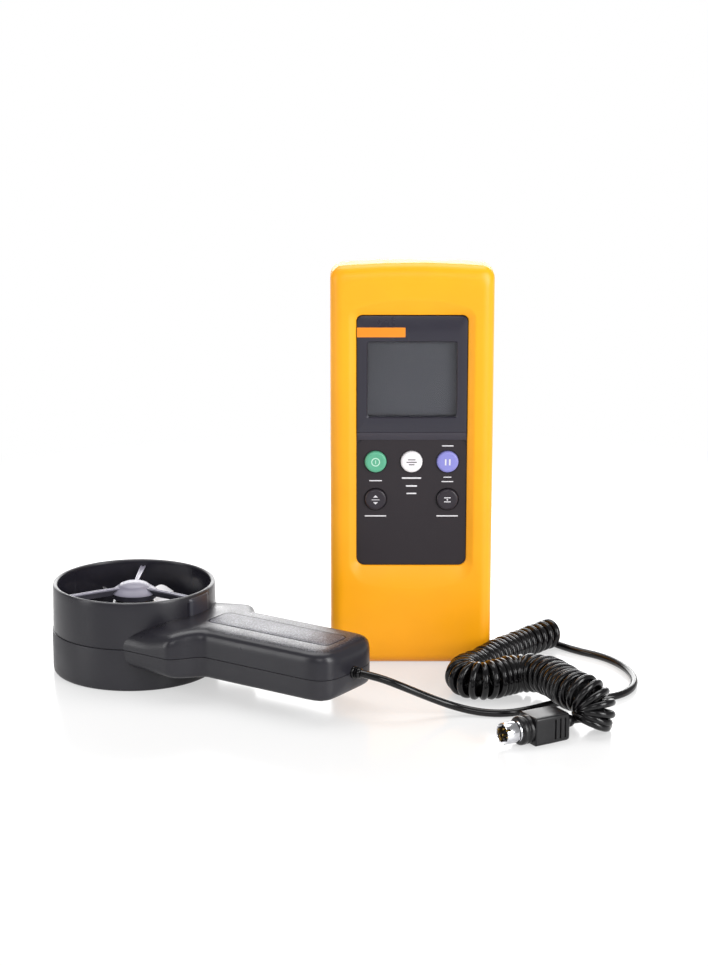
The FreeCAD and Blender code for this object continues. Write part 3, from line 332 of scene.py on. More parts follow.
def outline(half_width, low, high, corner_head, corner_foot=None, crown_head=0.0,
            crown_foot=0.0, corner_points=7, side_points=8):
    """A rounded rectangle in x and z, whose ends may be crowned, as a loop of points."""
    foot = corner_head if corner_foot is None else corner_foot
    corners = [(half_width - foot, low + foot, foot, -90),
               (half_width - corner_head, high - corner_head, corner_head, 0),
               (-half_width + corner_head, high - corner_head, corner_head, 90),
               (-half_width + foot, low + foot, foot, 180)]
    points = []
    for x, z, radius, start in corners:
        for i in range(corner_points):
            turn = math.radians(start + 90 * i / (corner_points - 1))
            points.append((x + radius * math.cos(turn), z + radius * math.sin(turn)))
    spaced = []
    for i, point in enumerate(points):
        spaced.append(point)
        if i % corner_points == corner_points - 1:
            following = points[(i + 1) % len(points)]
            for j in range(1, side_points):
                share = j / side_points
                spaced.append((point[0] + (following[0] - point[0]) * share,
                               point[1] + (following[1] - point[1]) * share))
    middle = (low + high) / 2
    crowned = []
    for x, z in spaced:
        bow = (x / half_width) ** 2
        if z > middle:
            z -= crown_head * bow * (z - middle) / (high - middle)
        else:
            z += crown_foot * bow * (middle - z) / (middle - low)
        crowned.append((x, z))
    return crowned


def upright_loop(points, y):
    """A loop given in x and z, in millimetres, stood up at depth y."""
    return [mm(x, y, z) for x, z in points]


def plate(name, points, front, back, look, edge):
    """A plate that faces -Y, from a loop in x and z, with its front edge rounded."""
    centre = np.mean(points, axis=0)
    size = np.abs(np.array(points) - centre).max(axis=0)
    loops = []
    for turn in (90, 60, 30, 0):
        inset = edge * (1 - math.cos(math.radians(turn)))
        depth = edge * (1 - math.sin(math.radians(turn)))
        inner = [tuple(centre + (np.array(p) - centre) * (size - inset) / size) for p in points]
        loops.append(upright_loop(inner, front + depth))
    loops.append(upright_loop(points, back))
    return as_piece(name, *loft(loops), look)


def lathe(name, profile, look, place, steps=64, **kind):
    """Turn a profile of radius and height, in millimetres, around the local Z axis."""
    loops = []
    for i in range(steps):
        turn = 2 * math.pi * i / steps
        loops.append([place @ mm(r * math.cos(turn), r * math.sin(turn), z)
                      for r, z in profile])
    return as_piece(name, *loft(loops, closed=True), look, **kind)


def rounded(points, radius, steps=4):
    """A closed profile with each corner replaced by an arc of about radius."""
    count = len(points)
    result = []
    for i, point in enumerate(points):
        corner = Vector((*point, 0))
        before = Vector((*points[i - 1], 0)) - corner
        after = Vector((*points[(i + 1) % count], 0)) - corner
        reach = min(radius, before.length * 0.45, after.length * 0.45)
        start = corner + before.normalized() * reach
        end = corner + after.normalized() * reach
        for j in range(steps + 1):
            share = j / steps
            spot = start.lerp(corner, share).lerp(corner.lerp(end, share), share)
            result.append((spot.x, spot.y))
    return result


def box_cutter(low, high):
    """A plain block, in millimetres, that is only used to cut."""
    corners = [Vector((x, y, z)) * MM for x in (low[0], high[0]) for y in (low[1], high[1])
               for z in (low[2], high[2])]
    faces = [(0, 1, 3, 2), (4, 6, 7, 5), (0, 4, 5, 1), (2, 3, 7, 6), (0, 2, 6, 4), (1, 5, 7, 3)]
    return as_piece("cutter", corners, faces, "black")


def mount(piece, body, slot_name, *nodes):
    """Let a piece ride on a body and stand for CAD nodes; slot_name is not used."""
    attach(piece, body)
    if nodes:
        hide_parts(*nodes)
    return piece


# ---------------------------------------------------------------- places from the CAD frame


def corners_of(node):
    """The low and high corner of a CAD node's box, in millimetres."""
    return [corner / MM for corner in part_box(node)]


rotor_low, rotor_high = corners_of("rotor_hub")
SEAM, RING_TOP = (corner.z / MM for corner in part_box("probe_upper_shell"))
RING_RADIUS, RIM_RADIUS, BORE_RADIUS = 36.7, 36.0, 34.0
HANDLE_ANGLE = math.radians(-34.1)
rotor_axis = (rotor_low + rotor_high) / 2
probe_place = Matrix.Translation(mm(rotor_axis.x, rotor_axis.y, 0)) @ Matrix.Rotation(
    HANDLE_ANGLE, 4, "Z")


# ---------------------------------------------------------------- holster

WINDOW_HALF, WINDOW_BASE, WINDOW_HEAD = 24.4, 45.7, 158.8

def body_outline(half_width, low, high):
    """The boot's own outline: a soft crown on top, small corners all round."""
    return outline(half_width, low, high, 5.2, 4.6, 1.7, 0.0)


def build_holster():
    """Rubber holster: crowned boot with a scooped window and an open back."""
    low, high = corners_of("holster")
    half_width, head = high.x, high.z
    front, back = low.y, high.y
    wall_y, lip_y = front + 3.0, back - 2.5
    window = outline(WINDOW_HALF, WINDOW_BASE, WINDOW_HEAD, 2.6, 3.6)
    window_soft = outline(WINDOW_HALF + 0.12, WINDOW_BASE - 0.12, WINDOW_HEAD + 0.12, 2.7, 3.7)
    window_edge = outline(WINDOW_HALF + 0.4, WINDOW_BASE - 0.5, WINDOW_HEAD + 0.45, 2.9, 3.9)
    scoop_in = outline(27.1, 36.7, 165.1, 3.4, 8.6, 4.3, 2.8)
    scoop = outline(27.6, 35.6, 165.8, 3.4, 9.0, 4.4, 3.0)
    scoop_out = outline(28.2, 34.6, 166.4, 3.8, 9.4, 4.2, 2.8)
    loops = [upright_loop(points, front + depth) for points, depth in (
        (window, 3.0), (window, 2.45), (window_soft, 2.15), (window_edge, 1.95),
        (scoop_in, 0.34), (scoop, 0.14), (scoop_out, 0.06))]
    side_round, head_round, foot_round = 5.5, 6.5, 4.5
    steps = 8
    for i in range(steps + 1):
        turn = math.pi / 2 * i / steps
        side = side_round * (1 - math.sin(turn))
        top = head_round * (1 - math.sin(turn))
        foot = foot_round * (1 - math.sin(turn))
        depth = side_round * (1 - math.cos(turn))
        loops.append(upright_loop(body_outline(half_width - side, foot, head - top),
                                  front + depth))
    for depth, drop in ((-4.0, 0.0), (-1.5, 0.1), (3.0, 0.75), (9.0, 1.85)):
        loops.append(upright_loop(body_outline(half_width, 0, head - drop), depth))
    rear_round, slope = 3.0, 3.3
    for i in range(steps + 1):
        turn = math.pi / 2 * i / steps
        inset = rear_round * (1 - math.cos(turn))
        depth = back - rear_round * (1 - math.sin(turn))
        drop = slope * max(0.0, depth) / back
        loops.append(upright_loop(body_outline(half_width - inset, inset, head - drop - inset),
                                  depth))
    opening = outline(28.5, 9.0, 168.0, 4.0)
    opening_soft = outline(28.9, 8.6, 168.4, 4.2)
    cavity = outline(half_width - 2.8, 3.0, head - 6.0, 4.2)
    loops += [upright_loop(points, y) for points, y in (
        (opening_soft, back), (opening, back - 0.4), (opening, lip_y), (cavity, lip_y),
        (cavity, wall_y))]
    piece = as_piece("holster_boot", *loft(loops, closed=True), "holster", sharp=50)
    socket_low, socket_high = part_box("socket_shell")
    middle = (socket_low + socket_high) / 2 / MM
    socket_axis = Matrix.Translation(mm(middle.x, middle.y, 0))
    hole = [(0, 170), (6.7, 170), (6.7, 185), (0, 185)]
    carve(piece, lathe("cutter", hole, "black", socket_axis, 48))
    settle(piece, 50)
    mount(piece, "meter", "holster_rubber", "holster")


# ---------------------------------------------------------------- display and keypad

LIP_HEAD, LIP_FOOT = 106.4, 102.9


def frame_plate(name, outer, inner, front, back, look):
    """A plate that faces -Y with an opening, its edges rounded and its opening chamfered."""
    edge, chamfer = 0.25, 0.5
    loops = [upright_loop(points, y) for points, y in (
        (outer, back), (outer, front + edge), (shrink(outer, edge * 0.3), front + edge * 0.3),
        (shrink(outer, edge), front), (shrink(inner, -chamfer), front),
        (inner, front + chamfer), (inner, back))]
    return as_piece(name, *loft(loops, closed=True), look, sharp=25)


def shrink(points, inset):
    """Pull a loop in towards its middle by inset on each side, or out if it is negative."""
    points = np.array(points)
    centre = (points.max(axis=0) + points.min(axis=0)) / 2
    size = (points.max(axis=0) - points.min(axis=0)) / 2
    return [tuple(p) for p in centre + (points - centre) * (size - inset) / size]


def bar(name, x, z, width, height, front, look, radius=None):
    """A thin printed mark with rounded ends, lying on a surface that faces -Y."""
    radius = min(width, height) / 2 * 0.98 if radius is None else radius
    points = outline(width / 2, -height / 2, height / 2, radius, side_points=2)
    points = [(px + x, pz + z) for px, pz in points]
    return plate(name, points, front - 0.06, front, look, edge=0.02)


def build_display():
    """Display panel with its lip and bare strip."""
    low, high = corners_of("display_bezel")
    front, back, half = low.y, high.y, high.x
    panel = outline(half, LIP_HEAD + 0.05, high.z, 2.5, 0.4)
    view = outline(19.5, 113.4, 146.8, 1.0)
    mount(frame_plate("display_panel", panel, view, front, back, "panel"), "meter",
          "display_panel", "display_bezel")
    lip_profile = [(back, LIP_FOOT), (back, LIP_HEAD), (front, LIP_HEAD),
                   (front + 0.06, LIP_HEAD - 0.35), (front + 0.55, LIP_FOOT + 0.25),
                   (front + 0.75, LIP_FOOT)]
    loops = [[mm(x, y, z) for y, z in lip_profile] for x in (-half, -half / 2, 0, half / 2, half)]
    # Its lighter material is a painted reflection of the floor on this down-facing band.
    lip = as_piece("panel_lip_painted_reflection", *loft(loops), "lip")
    round_edges(lip, 0.12)
    mount(lip, "meter", "display_panel")
    strip = bar("bare_strip", -13.6, 151.2, 21.2, 4.3, front, "strip", radius=0.25)
    mount(strip, "meter", "display_panel")


def lathe_face(name, profile, x, z, look):
    """Turn a profile of radius and depth around an axis along +Y through x, z."""
    place = Matrix.Translation(mm(x, 0, z)) @ Matrix.Rotation(-math.pi / 2, 4, "X")
    return lathe(name, profile, look, place, 48)


def build_keys():
    """The five keys with plain generic symbols."""
    radius = 4.8
    flange_front = corners_of("front_case")[0].y + 2.1
    for node, look in (("key_power", "green"), ("key_function", "white"),
                       ("key_hold", "violet"), ("key_min_max", "dark_key"),
                       ("key_average", "dark_key")):
        low, high = corners_of(node)
        x, z = (low.x + high.x) / 2, (low.z + high.z) / 2
        front, back = low.y, high.y
        rim = 0.12 if node == "key_power" else 0.0
        profile = [(0, front + rim), (2.9, front + rim), (3.1, front + rim * 0.5),
                   (3.5, front), (4.1, front + 0.1), (4.5, front + 0.3), (4.72, front + 0.62),
                   (radius, front + 1.1), (radius, flange_front), (5.8, flange_front),
                   (5.8, flange_front + 1), (2.5, flange_front + 1), (2.5, back), (0, back)]
        mount(lathe_face(node + "_cap", profile, x, z, look), node + "_cap", node_slot(node),
              node)
        draw_symbol(node, x, z, front + rim)


def node_slot(node):
    """The record's material slot of a CAD node."""
    for part in frame["record"]["subparts"]:
        if part["node"] == node:
            return part["material_slot"]


def draw_symbol(node, x, z, front):
    """The generic mark on each key's face."""
    body, slot_name = node + "_cap", node_slot(node)
    pieces = []
    if node == "key_power":
        ring = [(1.5, front - 0.05), (1.95, front - 0.05), (1.95, front + 0.05),
                (1.5, front + 0.05)]
        pieces.append(lathe_face("power_ring", ring, x, z, "pale_green"))
        pieces.append(bar("power_bar", x, z, 0.4, 1.7, front, "pale_green"))
    elif node == "key_function":
        for i, width in enumerate((3.4, 4.6, 2.6)):
            pieces.append(bar(f"function_line_{i}", x, z + 1.1 - 1.1 * i, width, 0.42, front,
                              "print_dark"))
    elif node == "key_hold":
        for i, side in enumerate((-1, 1)):
            pieces.append(bar(f"hold_bar_{i}", x + side * 0.9, z, 0.7, 2.8, front,
                              "print_white", radius=0.1))
    elif node == "key_min_max":
        pieces.append(bar("min_max_line", x, z, 3.6, 0.28, front, "print_white"))
        for i, side in enumerate((-1, 1)):
            pieces.append(triangle(f"min_max_arrow_{i}", x, z + side * 1.6, side * 1.1, front))
    else:
        for i, rise in enumerate((0.9, -0.9)):
            pieces.append(bar(f"average_line_{i}", x, z + rise, 3.0, 0.4, front, "print_white"))
        pieces.append(bar("average_dot", x, z, 0.7, 0.7, front, "print_white"))
    for piece in pieces:
        mount(piece, body, slot_name)


def triangle(name, x, z, size, front):
    """A small printed arrow head that points up, or down if size is negative."""
    points = rounded([(x - abs(size), z - size / 2), (x + abs(size), z - size / 2),
                      (x, z + size / 2)], 0.12)
    return plate(name, points, front - 0.06, front, "print_white", edge=0.02)


def build_legends():
    """Short bare bars on the keypad where a legend would stand."""
    front = corners_of("keypad_label")[0].y
    rows = [(-15.9, 84.4, 5.6, 0.5), (-15.9, 68.3, 9.6, 0.55), (15.9, 68.3, 9.6, 0.55),
            (15.9, 100.2, 5.2, 0.5), (15.9, 86.0, 3.6, 0.45), (15.9, 84.0, 5.2, 0.45),
            (0.0, 85.6, 8.6, 0.7), (0.0, 82.0, 5.0, 0.7), (0.0, 78.6, 4.4, 0.6)]
    for i, (x, z, width, height) in enumerate(rows):
        mount(bar(f"legend_bar_{i}", x, z, width, height, front, "print_white"), "meter",
              "keypad_print")


# ---------------------------------------------------------------- probe ring and handle


def build_ring():
    """The two halves of the vane's duct."""
    bore = BORE_RADIUS
    lower = [(bore, 0.6), (bore + 0.5, 0.12), (bore + 1.0, 0), (RING_RADIUS - 1.6, 0),
             (RING_RADIUS - 0.7, 0.25), (RING_RADIUS - 0.2, 0.9), (RING_RADIUS, 2.0),
             (RING_RADIUS, SEAM - 0.5), (RING_RADIUS - 0.12, SEAM - 0.15),
             (RING_RADIUS - 0.5, SEAM), (bore, SEAM)]
    upper = [(bore, SEAM), (RIM_RADIUS - 0.1, SEAM), (RIM_RADIUS + 0.22, SEAM + 0.2),
             (RIM_RADIUS + 0.3, SEAM + 0.5), (RIM_RADIUS, RING_TOP - 4),
             (RIM_RADIUS - 0.04, RING_TOP - 1.0), (RIM_RADIUS - 0.25, RING_TOP - 0.35),
             (RIM_RADIUS - 0.7, RING_TOP - 0.05), (RIM_RADIUS - 1.1, RING_TOP),
             (bore + 0.5, RING_TOP - 0.1), (bore + 0.15, RING_TOP - 0.4), (bore, RING_TOP - 1.0)]
    for name, profile, look, foot, head in (
            ("lower", lower, "probe_lower", 0.8, SEAM - 0.1),
            ("upper", upper, "probe_upper", SEAM + 0.1, RING_TOP - 1.1)):
        piece = lathe("ring_" + name, profile, look, probe_place, 144)
        mount(piece, "probe", "probe_plastic", f"probe_{name}_shell")
        liner = [(bore - 0.02, foot), (bore - 0.02, head), (bore + 0.3, head), (bore + 0.3, foot)]
        mount(lathe(f"ring_{name}_bore", liner, "bore", probe_place, 144), "probe",
              "probe_plastic")


HANDLE_END = 118.0
PANEL_MIDDLE = 78


def end_rounding(x, length, power):
    """1 along the handle, falling to 0 over the last length of it."""
    share = min(1.0, max(0.0, (x - HANDLE_END + length) / length))
    return (1 - share ** power) ** (1 / power)


def handle_half_width(x):
    """Half width of the handle's plan at x from the ring's centre, in millimetres."""
    saddle, grip = 31.2, 19.5
    share = min(1.0, max(0.0, (x - 42.0) / 12.5))
    ease = share * share * (3 - 2 * share)
    width = saddle + (grip - saddle) * ease
    return width * end_rounding(x, 15.0, 3.6)


def handle_power(x):
    """Exponent of the section's rounding: soft on the saddle and boxy on the grip."""
    share = min(1.0, max(0.0, (x - 30.0) / 26.0))
    return 2.7 + 3.3 * share


def panel_loop(points, z):
    """A loop round the middle of the grip panel, in millimetres, laid at height z."""
    return [probe_place @ mm(PANEL_MIDDLE + x, y, z) for x, y in points]


def build_handle():
    """The two halves of the handle, as lofted rounded sections."""
    stations = [14, 16, 18, 20, 24, 28, 32, 35, 38, 40, 42, 43.5, 45, 46.5, 48, 49.5, 51, 52.5,
                54, 56, 60, 68, 78, 88, 98, 104, 107, 110, 112.5, 114.5, 116, 117, 117.6, 117.95]
    steps = 36
    for name, look, side, head, node in (
            ("handle_upper", "probe_upper", 1, 12.0, "probe_upper_shell"),
            ("handle_lower", "probe_lower", -1, 10.2, "probe_lower_shell")):
        loops = []
        for x in stations:
            half = handle_half_width(x)
            power = handle_power(x) + (0 if side > 0 else 1.5)
            height = head * end_rounding(x, 11.0, 4)
            loop = []
            for i in range(steps + 1):
                turn = math.pi * i / steps
                c, s = math.cos(turn), math.sin(turn)
                y = half * math.copysign(abs(c) ** (2 / power), c)
                z = SEAM + side * (0.14 + (height - 0.14) * s ** (2 / power))
                inside = math.sqrt(max(0.0, (BORE_RADIUS + 1.2) ** 2 - y * y))
                loop.append(probe_place @ mm(max(x, inside), y, z))
            loops.append(loop)
        piece = as_piece(name, *loft(loops), look, sharp=60)
        if side > 0:
            recess = outline(32.15, -8.2, 8.2, 3.4)
            skin = loft([panel_loop(recess, z) for z in (30.0, 33.0)])
            carve(piece, as_piece("cutter", *skin, "black"))
            settle(piece, 50)
        mount(piece, "probe", "probe_plastic", node)


def build_handle_details():
    """The textured grip panel and the boss on the ring's wall."""
    points = outline(31.85, -7.9, 7.9, 3.1)
    loops = [panel_loop(shrink(points, inset), z)
             for inset, z in ((0, 30.02), (0, 30.9), (0.1, 31.02), (0.35, 31.1))]
    mount(as_piece("grip_panel", *loft(loops), "probe_panel", sharp=40), "probe",
          "probe_panel", "handle_panel")
    profile = rounded([(35.2, 29.5), (36.85, 29.5), (36.75, 37.6), (36.2, 38.6), (35.2, 38.6)],
                      0.5)
    loops = []
    first, last = math.radians(-9.5), math.radians(12.5)
    for i in range(13):
        share = i / 12
        turn = Matrix.Rotation(first + (last - first) * share, 4, "Z")
        pull = 0.55 if i in (0, 12) else 1.0
        loops.append([probe_place @ turn @ mm(35.2 + (x - 35.2) * pull, 0, z)
                      for x, z in profile])
    mount(as_piece("duct_boss", *loft(loops), "probe_panel", sharp=40), "probe",
          "probe_plastic")
    # A raised dark strip, not a cut, paints the shade of the groove at the boss's edge.
    groove = [(35.4, 30.0), (36.2, 30.0), (36.2, 36.9), (35.4, 36.9)]
    loops = [[probe_place @ Matrix.Rotation(math.radians(angle), 4, "Z") @ mm(x, 0, z)
              for x, z in groove] for angle in (-11.0, -9.4)]
    mount(as_piece("duct_groove_painted_shade", *loft(loops), "bore"), "probe", "probe_plastic")


# ---------------------------------------------------------------- guards and rotor

SPOKE_ANGLE = 88.0

def build_guards():
    """Upper guard with its domed cap, lower guard, and their spokes of T section."""
    top = corners_of("upper_guard")[1].z
    cap = [(0, top - 0.2), (2.4, top - 0.35), (4.6, top - 0.8), (6.0, top - 1.35),
           (6.8, top - 1.95), (7.0, top - 2.25), (8.2, top - 2.95), (9.6, top - 3.95),
           (10.3, top - 4.5), (10.45, top - 4.75), (10.3, top - 4.95), (9.6, top - 5.0),
           (0, top - 5.0)]
    # The barrel under the cap's overhang and the lower guard's foot take the darker guard copy as
    # painted shade.
    barrel = [(0, top - 4.8), (10.0, top - 4.8), (10.0, top - 7.0), (9.6, top - 7.3),
              (0, top - 7.3)]
    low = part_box("lower_guard")[0].z / MM
    foot = [(0, low), (9.2, low), (9.8, low + 0.3), (10, low + 0.8), (10, low + 4.6),
            (9.6, low + 5), (0, low + 5)]
    for name, profile, look, node in (("guard_cap", cap, "guard", "upper_guard"),
                                      ("guard_barrel", barrel, "barrel", "upper_guard"),
                                      ("guard_foot", foot, "barrel", "lower_guard")):
        mount(lathe(name, profile, look, probe_place), "probe", "guard_grey", node)
    for label, head, node in (("upper", top - 2.2, "upper_guard"),
                              ("lower", low + 3.6, "lower_guard")):
        for i in range(3):
            angle = math.radians(120 * i) - HANDLE_ANGLE + math.radians(SPOKE_ANGLE)
            turn = Matrix.Rotation(angle, 4, "Z")
            flange = rounded([(-1.1, -0.75), (1.1, -0.75), (1.2, 0), (0.55, 0),
                              (0.4, -0.28), (-0.4, -0.28), (-0.55, 0), (-1.2, 0)], 0.12, 3)
            web = rounded([(-0.4, -3.2), (0.4, -3.2), (0.45, -0.7), (-0.45, -0.7)], 0.12, 2)
            # Each spoke's web, under its top, takes the darker guard copy as painted shade.
            for part, section, look in (("flange", flange, "guard"), ("web", web, "barrel")):
                loops = [[probe_place @ turn @ mm(x, y * scale, head + drop + z)
                          for y, z in section]
                         for x, scale, drop in ((7.2, 0.75, 0), (20.0, 0.88, -0.1),
                                                (34.2, 1.0, -0.5))]
                piece = as_piece(f"{label}_{part}_{i}", *loft(loops), look, sharp=40)
                mount(piece, "probe", "guard_grey", node)


def build_rotor():
    """Dark hub with six thin, twisted, round-tipped blades."""
    low, high = rotor_low.z, rotor_high.z
    radius = 8.5
    hub = [(0, high), (radius - 1.4, high), (radius - 0.4, high - 0.4), (radius, high - 1.2),
           (radius, low + 1.2), (radius - 0.4, low + 0.4), (radius - 1.4, low), (0, low)]
    mount(lathe("vane_hub", hub, "black", probe_place), "rotor", "probe_plastic", "rotor_hub")
    middle = (low + high) / 2
    sleeve = [(radius + 0.02, middle - 3.6), (radius + 0.9, middle - 3.6),
              (radius + 1.02, middle - 3.3), (radius + 1.02, middle + 3.3),
              (radius + 0.9, middle + 3.6), (radius + 0.02, middle + 3.6)]
    mount(lathe("vane_sleeve", sleeve, "blade", probe_place), "rotor", "blade_white",
          "rotor_blades")
    spans, chords = 18, 12
    root, tip_start, tip_length = 8.8, 24.5, 5.42
    for k in range(6):
        turn = Matrix.Rotation(math.radians(60 * k) - HANDLE_ANGLE, 4, "Z")
        loops = []
        for i in range(spans + 1):
            share = i / spans
            reach = root + (29.9 - root) * share
            tip = max(0.0, (reach - tip_start) / tip_length)
            chord = 7.2 + 3.6 * math.sin(math.pi / 2 * min(1, share * 1.2))
            chord *= math.sqrt(max(0.0, 1 - tip ** 2.4))
            pitch = math.radians(58 - 14 * share)
            loop = []
            for j in range(2 * chords):
                around = math.pi * j / chords
                across = chord / 2 * math.cos(around)
                thick = 0.42 * math.sin(around) * (1.0 - 0.45 * share)
                camber = 0.5 * (1 - math.cos(around) ** 2)
                y = across * math.cos(pitch) - (thick + camber) * math.sin(pitch)
                z = across * math.sin(pitch) + (thick + camber) * math.cos(pitch)
                loop.append(probe_place @ turn @ mm(reach, y, middle + z))
            loops.append(loop)
        mount(as_piece(f"vane_blade_{k}", *loft(loops), "blade", sharp=60), "rotor",
              "blade_white", "rotor_blades")


# ---------------------------------------------------------------- cord

CORD_DIAMETER = 3.3
LEAD_ROUTE = [
    (-4.5, -93.4, 14.8), (7.0, -88.8, 8.4), (17.8, -86.0, 3.4), (28.5, -88.0, 1.65),
    (39.0, -89.2, 1.65), (49.4, -84.0, 1.65), (58.8, -76.4, 1.65), (68.8, -71.4, 1.65),
    (79.4, -70.0, 1.65), (89.0, -65.6, 1.65), (95.4, -56.6, 1.65), (98.0, -44.6, 1.65),
    (96.8, -31.8, 1.65), (92.4, -19.6, 1.65), (85.2, -9.6, 1.65), (76.0, -3.0, 1.65),
]
COIL_ROUTE = [
    (65.6, 8.8, 6.9), (56.4, -1.6, 6.9), (46.4, -14.0, 6.9), (37.4, -27.0, 6.9),
    (28.8, -41.2, 6.9), (22.4, -52.4, 7.2), (21.6, -61.0, 7.6), (27.0, -66.4, 8.0),
    (33.8, -65.2, 8.5), (40.0, -60.6, 8.9), (46.4, -57.8, 9.2), (52.4, -60.2, 10.2),
    (57.2, -67.0, 11.6), (60.4, -75.6, 12.6), (62.8, -84.6, 13.4), (64.6, -93.0, 14.4),
    (66.0, -100.0, 15.6), (69.4, -104.6, 16.0), (73.6, -106.6, 13.2), (74.6, -107.4, 9.0),
    (72.8, -107.8, 5.4),
]
# Along the coil's line, in millimetres: its turns' mean radius and the step to the next turn.
COIL_SHAPE = [
    (0, 5.05, 4.8), (14, 5.1, 4.6), (24, 5.2, 3.5), (62, 5.6, 3.4), (76, 6.2, 3.2),
    (86, 6.6, 3.2), (98, 6.8, 2.9), (108, 6.9, 3.0), (114, 6.9, 3.6), (122, 6.9, 5.8),
    (146, 6.9, 6.0), (154, 7.0, 4.8), (162, 7.1, 3.2), (168, 7.2, 2.4), (190, 7.2, 2.2),
]
# The curls end where they point this way from their line, or a turn later at most.
COIL_EXIT = Vector((0.9, 0.0, -0.42))
EXIT_MATCH = 0.9
FLOOR_GAP = 0.05
HELIX_START = math.radians(-90)
TURN_POINTS = 13
PLUG_TIP = (34.8, -126.7, 6.0)
PLUG_ANGLE = math.radians(30.0)
plug_place = Matrix.Translation(mm(*PLUG_TIP)) @ Matrix.Rotation(PLUG_ANGLE, 4, "Z")
plug_axis = plug_place @ Matrix.Rotation(math.pi / 2, 4, "Y")


def nurbs(name, points):
    """A curve of one smooth open spline through a route, in metres."""
    curve = bpy.data.curves.new(name, "CURVE")
    curve.dimensions = "3D"
    spline = curve.splines.new("NURBS")
    spline.points.add(len(points) - 1)
    for knot, point in zip(spline.points, points):
        knot.co = (*point, 1.0)
    spline.order_u = 3
    spline.use_endpoint_u = True
    curve.resolution_u = 4
    return new_object(name, curve)


def line_of(points):
    """Points along the smooth spline of a route, and their distance from its start."""
    guide = nurbs("guide", points)
    mesh = bpy.data.meshes.new_from_object(guide)
    line = np.array([v.co for v in mesh.vertices])
    bpy.data.objects.remove(guide)
    steps = np.linalg.norm(np.diff(line, axis=0), axis=1)
    return line, np.concatenate([[0.0], np.cumsum(steps)])


def helix():
    """Points of the curly part, turn after turn round the coil's line, clear of the floor."""
    line, along = line_of([mm(*p) for p in COIL_ROUTE])
    places, radii, pitches = (np.array(column) * MM for column in zip(*COIL_SHAPE))
    total = along[-1]
    reach = 2.5 * MM
    lowest = CORD_DIAMETER / 2 * MM + FLOOR_GAP * MM

    def spot(distance):
        distance = min(max(distance, 0.0), total)
        return Vector([np.interp(distance, along, line[:, k]) for k in range(3)])

    def heading_at(distance):
        return (spot(distance + reach) - spot(distance - reach)).normalized()

    points = []
    distance, phase = 0.0, HELIX_START
    # The spline runs inside its control points by this share of the radius.
    flow_in = 1 - (1 - math.cos(2 * math.pi / TURN_POINTS)) / 4
    side = heading_at(0).cross(Vector((0, 0, 1))).normalized()
    around = -COIL_EXIT
    points_over = 0
    while distance < total or (around.dot(COIL_EXIT) < EXIT_MATCH and points_over < TURN_POINTS):
        points_over += distance >= total
        heading = heading_at(distance)
        side = (side - heading * side.dot(heading)).normalized()
        up = side.cross(heading)
        radius = np.interp(distance, places, radii)
        radius *= 1 + 0.02 * math.sin(0.37 * phase) + 0.015 * math.sin(0.113 * phase)
        around = side * math.cos(phase) + up * math.sin(phase)
        point = spot(distance) + around * radius
        point.z -= min(0.0, spot(distance).z - radius * math.sqrt(1 - heading.z ** 2) - lowest)
        points.append(point + around * (radius / flow_in - radius))
        distance += np.interp(distance, places, pitches) / TURN_POINTS
        phase += 2 * math.pi / TURN_POINTS
    return points


def build_cord():
    """One cord: from the handle, round the lead, through the curls and into the plug."""
    exit_point = probe_place @ mm(122.15, 0, SEAM)
    straight = probe_place @ mm(130.65, 0, SEAM)
    lead = [exit_point, straight] + [mm(*p) for p in LEAD_ROUTE]
    tail = [mm(80.6, -104.4, 2.2), mm(79.2, -100.4, 2.2), mm(75.2, -100.0, 2.8),
            mm(71.6, -103.0, 4.2), mm(68.4, -106.6, 5.5)]
    tail += [plug_place @ mm(x, 0, 0) for x in (35.0, 32.5, 30.0)]
    cord = nurbs("cord", lead + helix() + tail)
    cord.data.bevel_depth = CORD_DIAMETER / 2 * MM
    cord.data.bevel_resolution = 3
    cord.data.use_fill_caps = True
    cord.data.materials.append(looks["cord"])
    mount(cord, "probe", "cord_black", "cord_lead", "cord_coil")
    return cord, exit_point


def build_collar():
    """Small ribbed grommet where the cord leaves the handle."""
    place = probe_place @ Matrix.Translation(mm(0, 0, SEAM)) @ Matrix.Rotation(
        math.pi / 2, 4, "Y")
    profile = [(1.7, 116.5), (2.6, 116.5), (2.65, 118.6), (2.5, 118.9), (2.3, 119.0),
               (2.3, 119.3), (2.45, 119.4), (2.45, 120.0), (2.2, 120.1), (2.2, 120.4),
               (2.3, 120.5), (2.25, 121.1), (2.05, 121.6), (1.7, 121.9)]
    mount(lathe("cord_grommet", profile, "cord", place, 40, sharp=50), "probe",
          "cord_black", "cord_collar")


def turned(name, profile, look, steps, node, sharp=35):
    """A turned piece of the plug, in place of a CAD node."""
    mount(lathe(name, profile, look, plug_axis, steps, sharp=sharp), "probe", "plug_black", node)


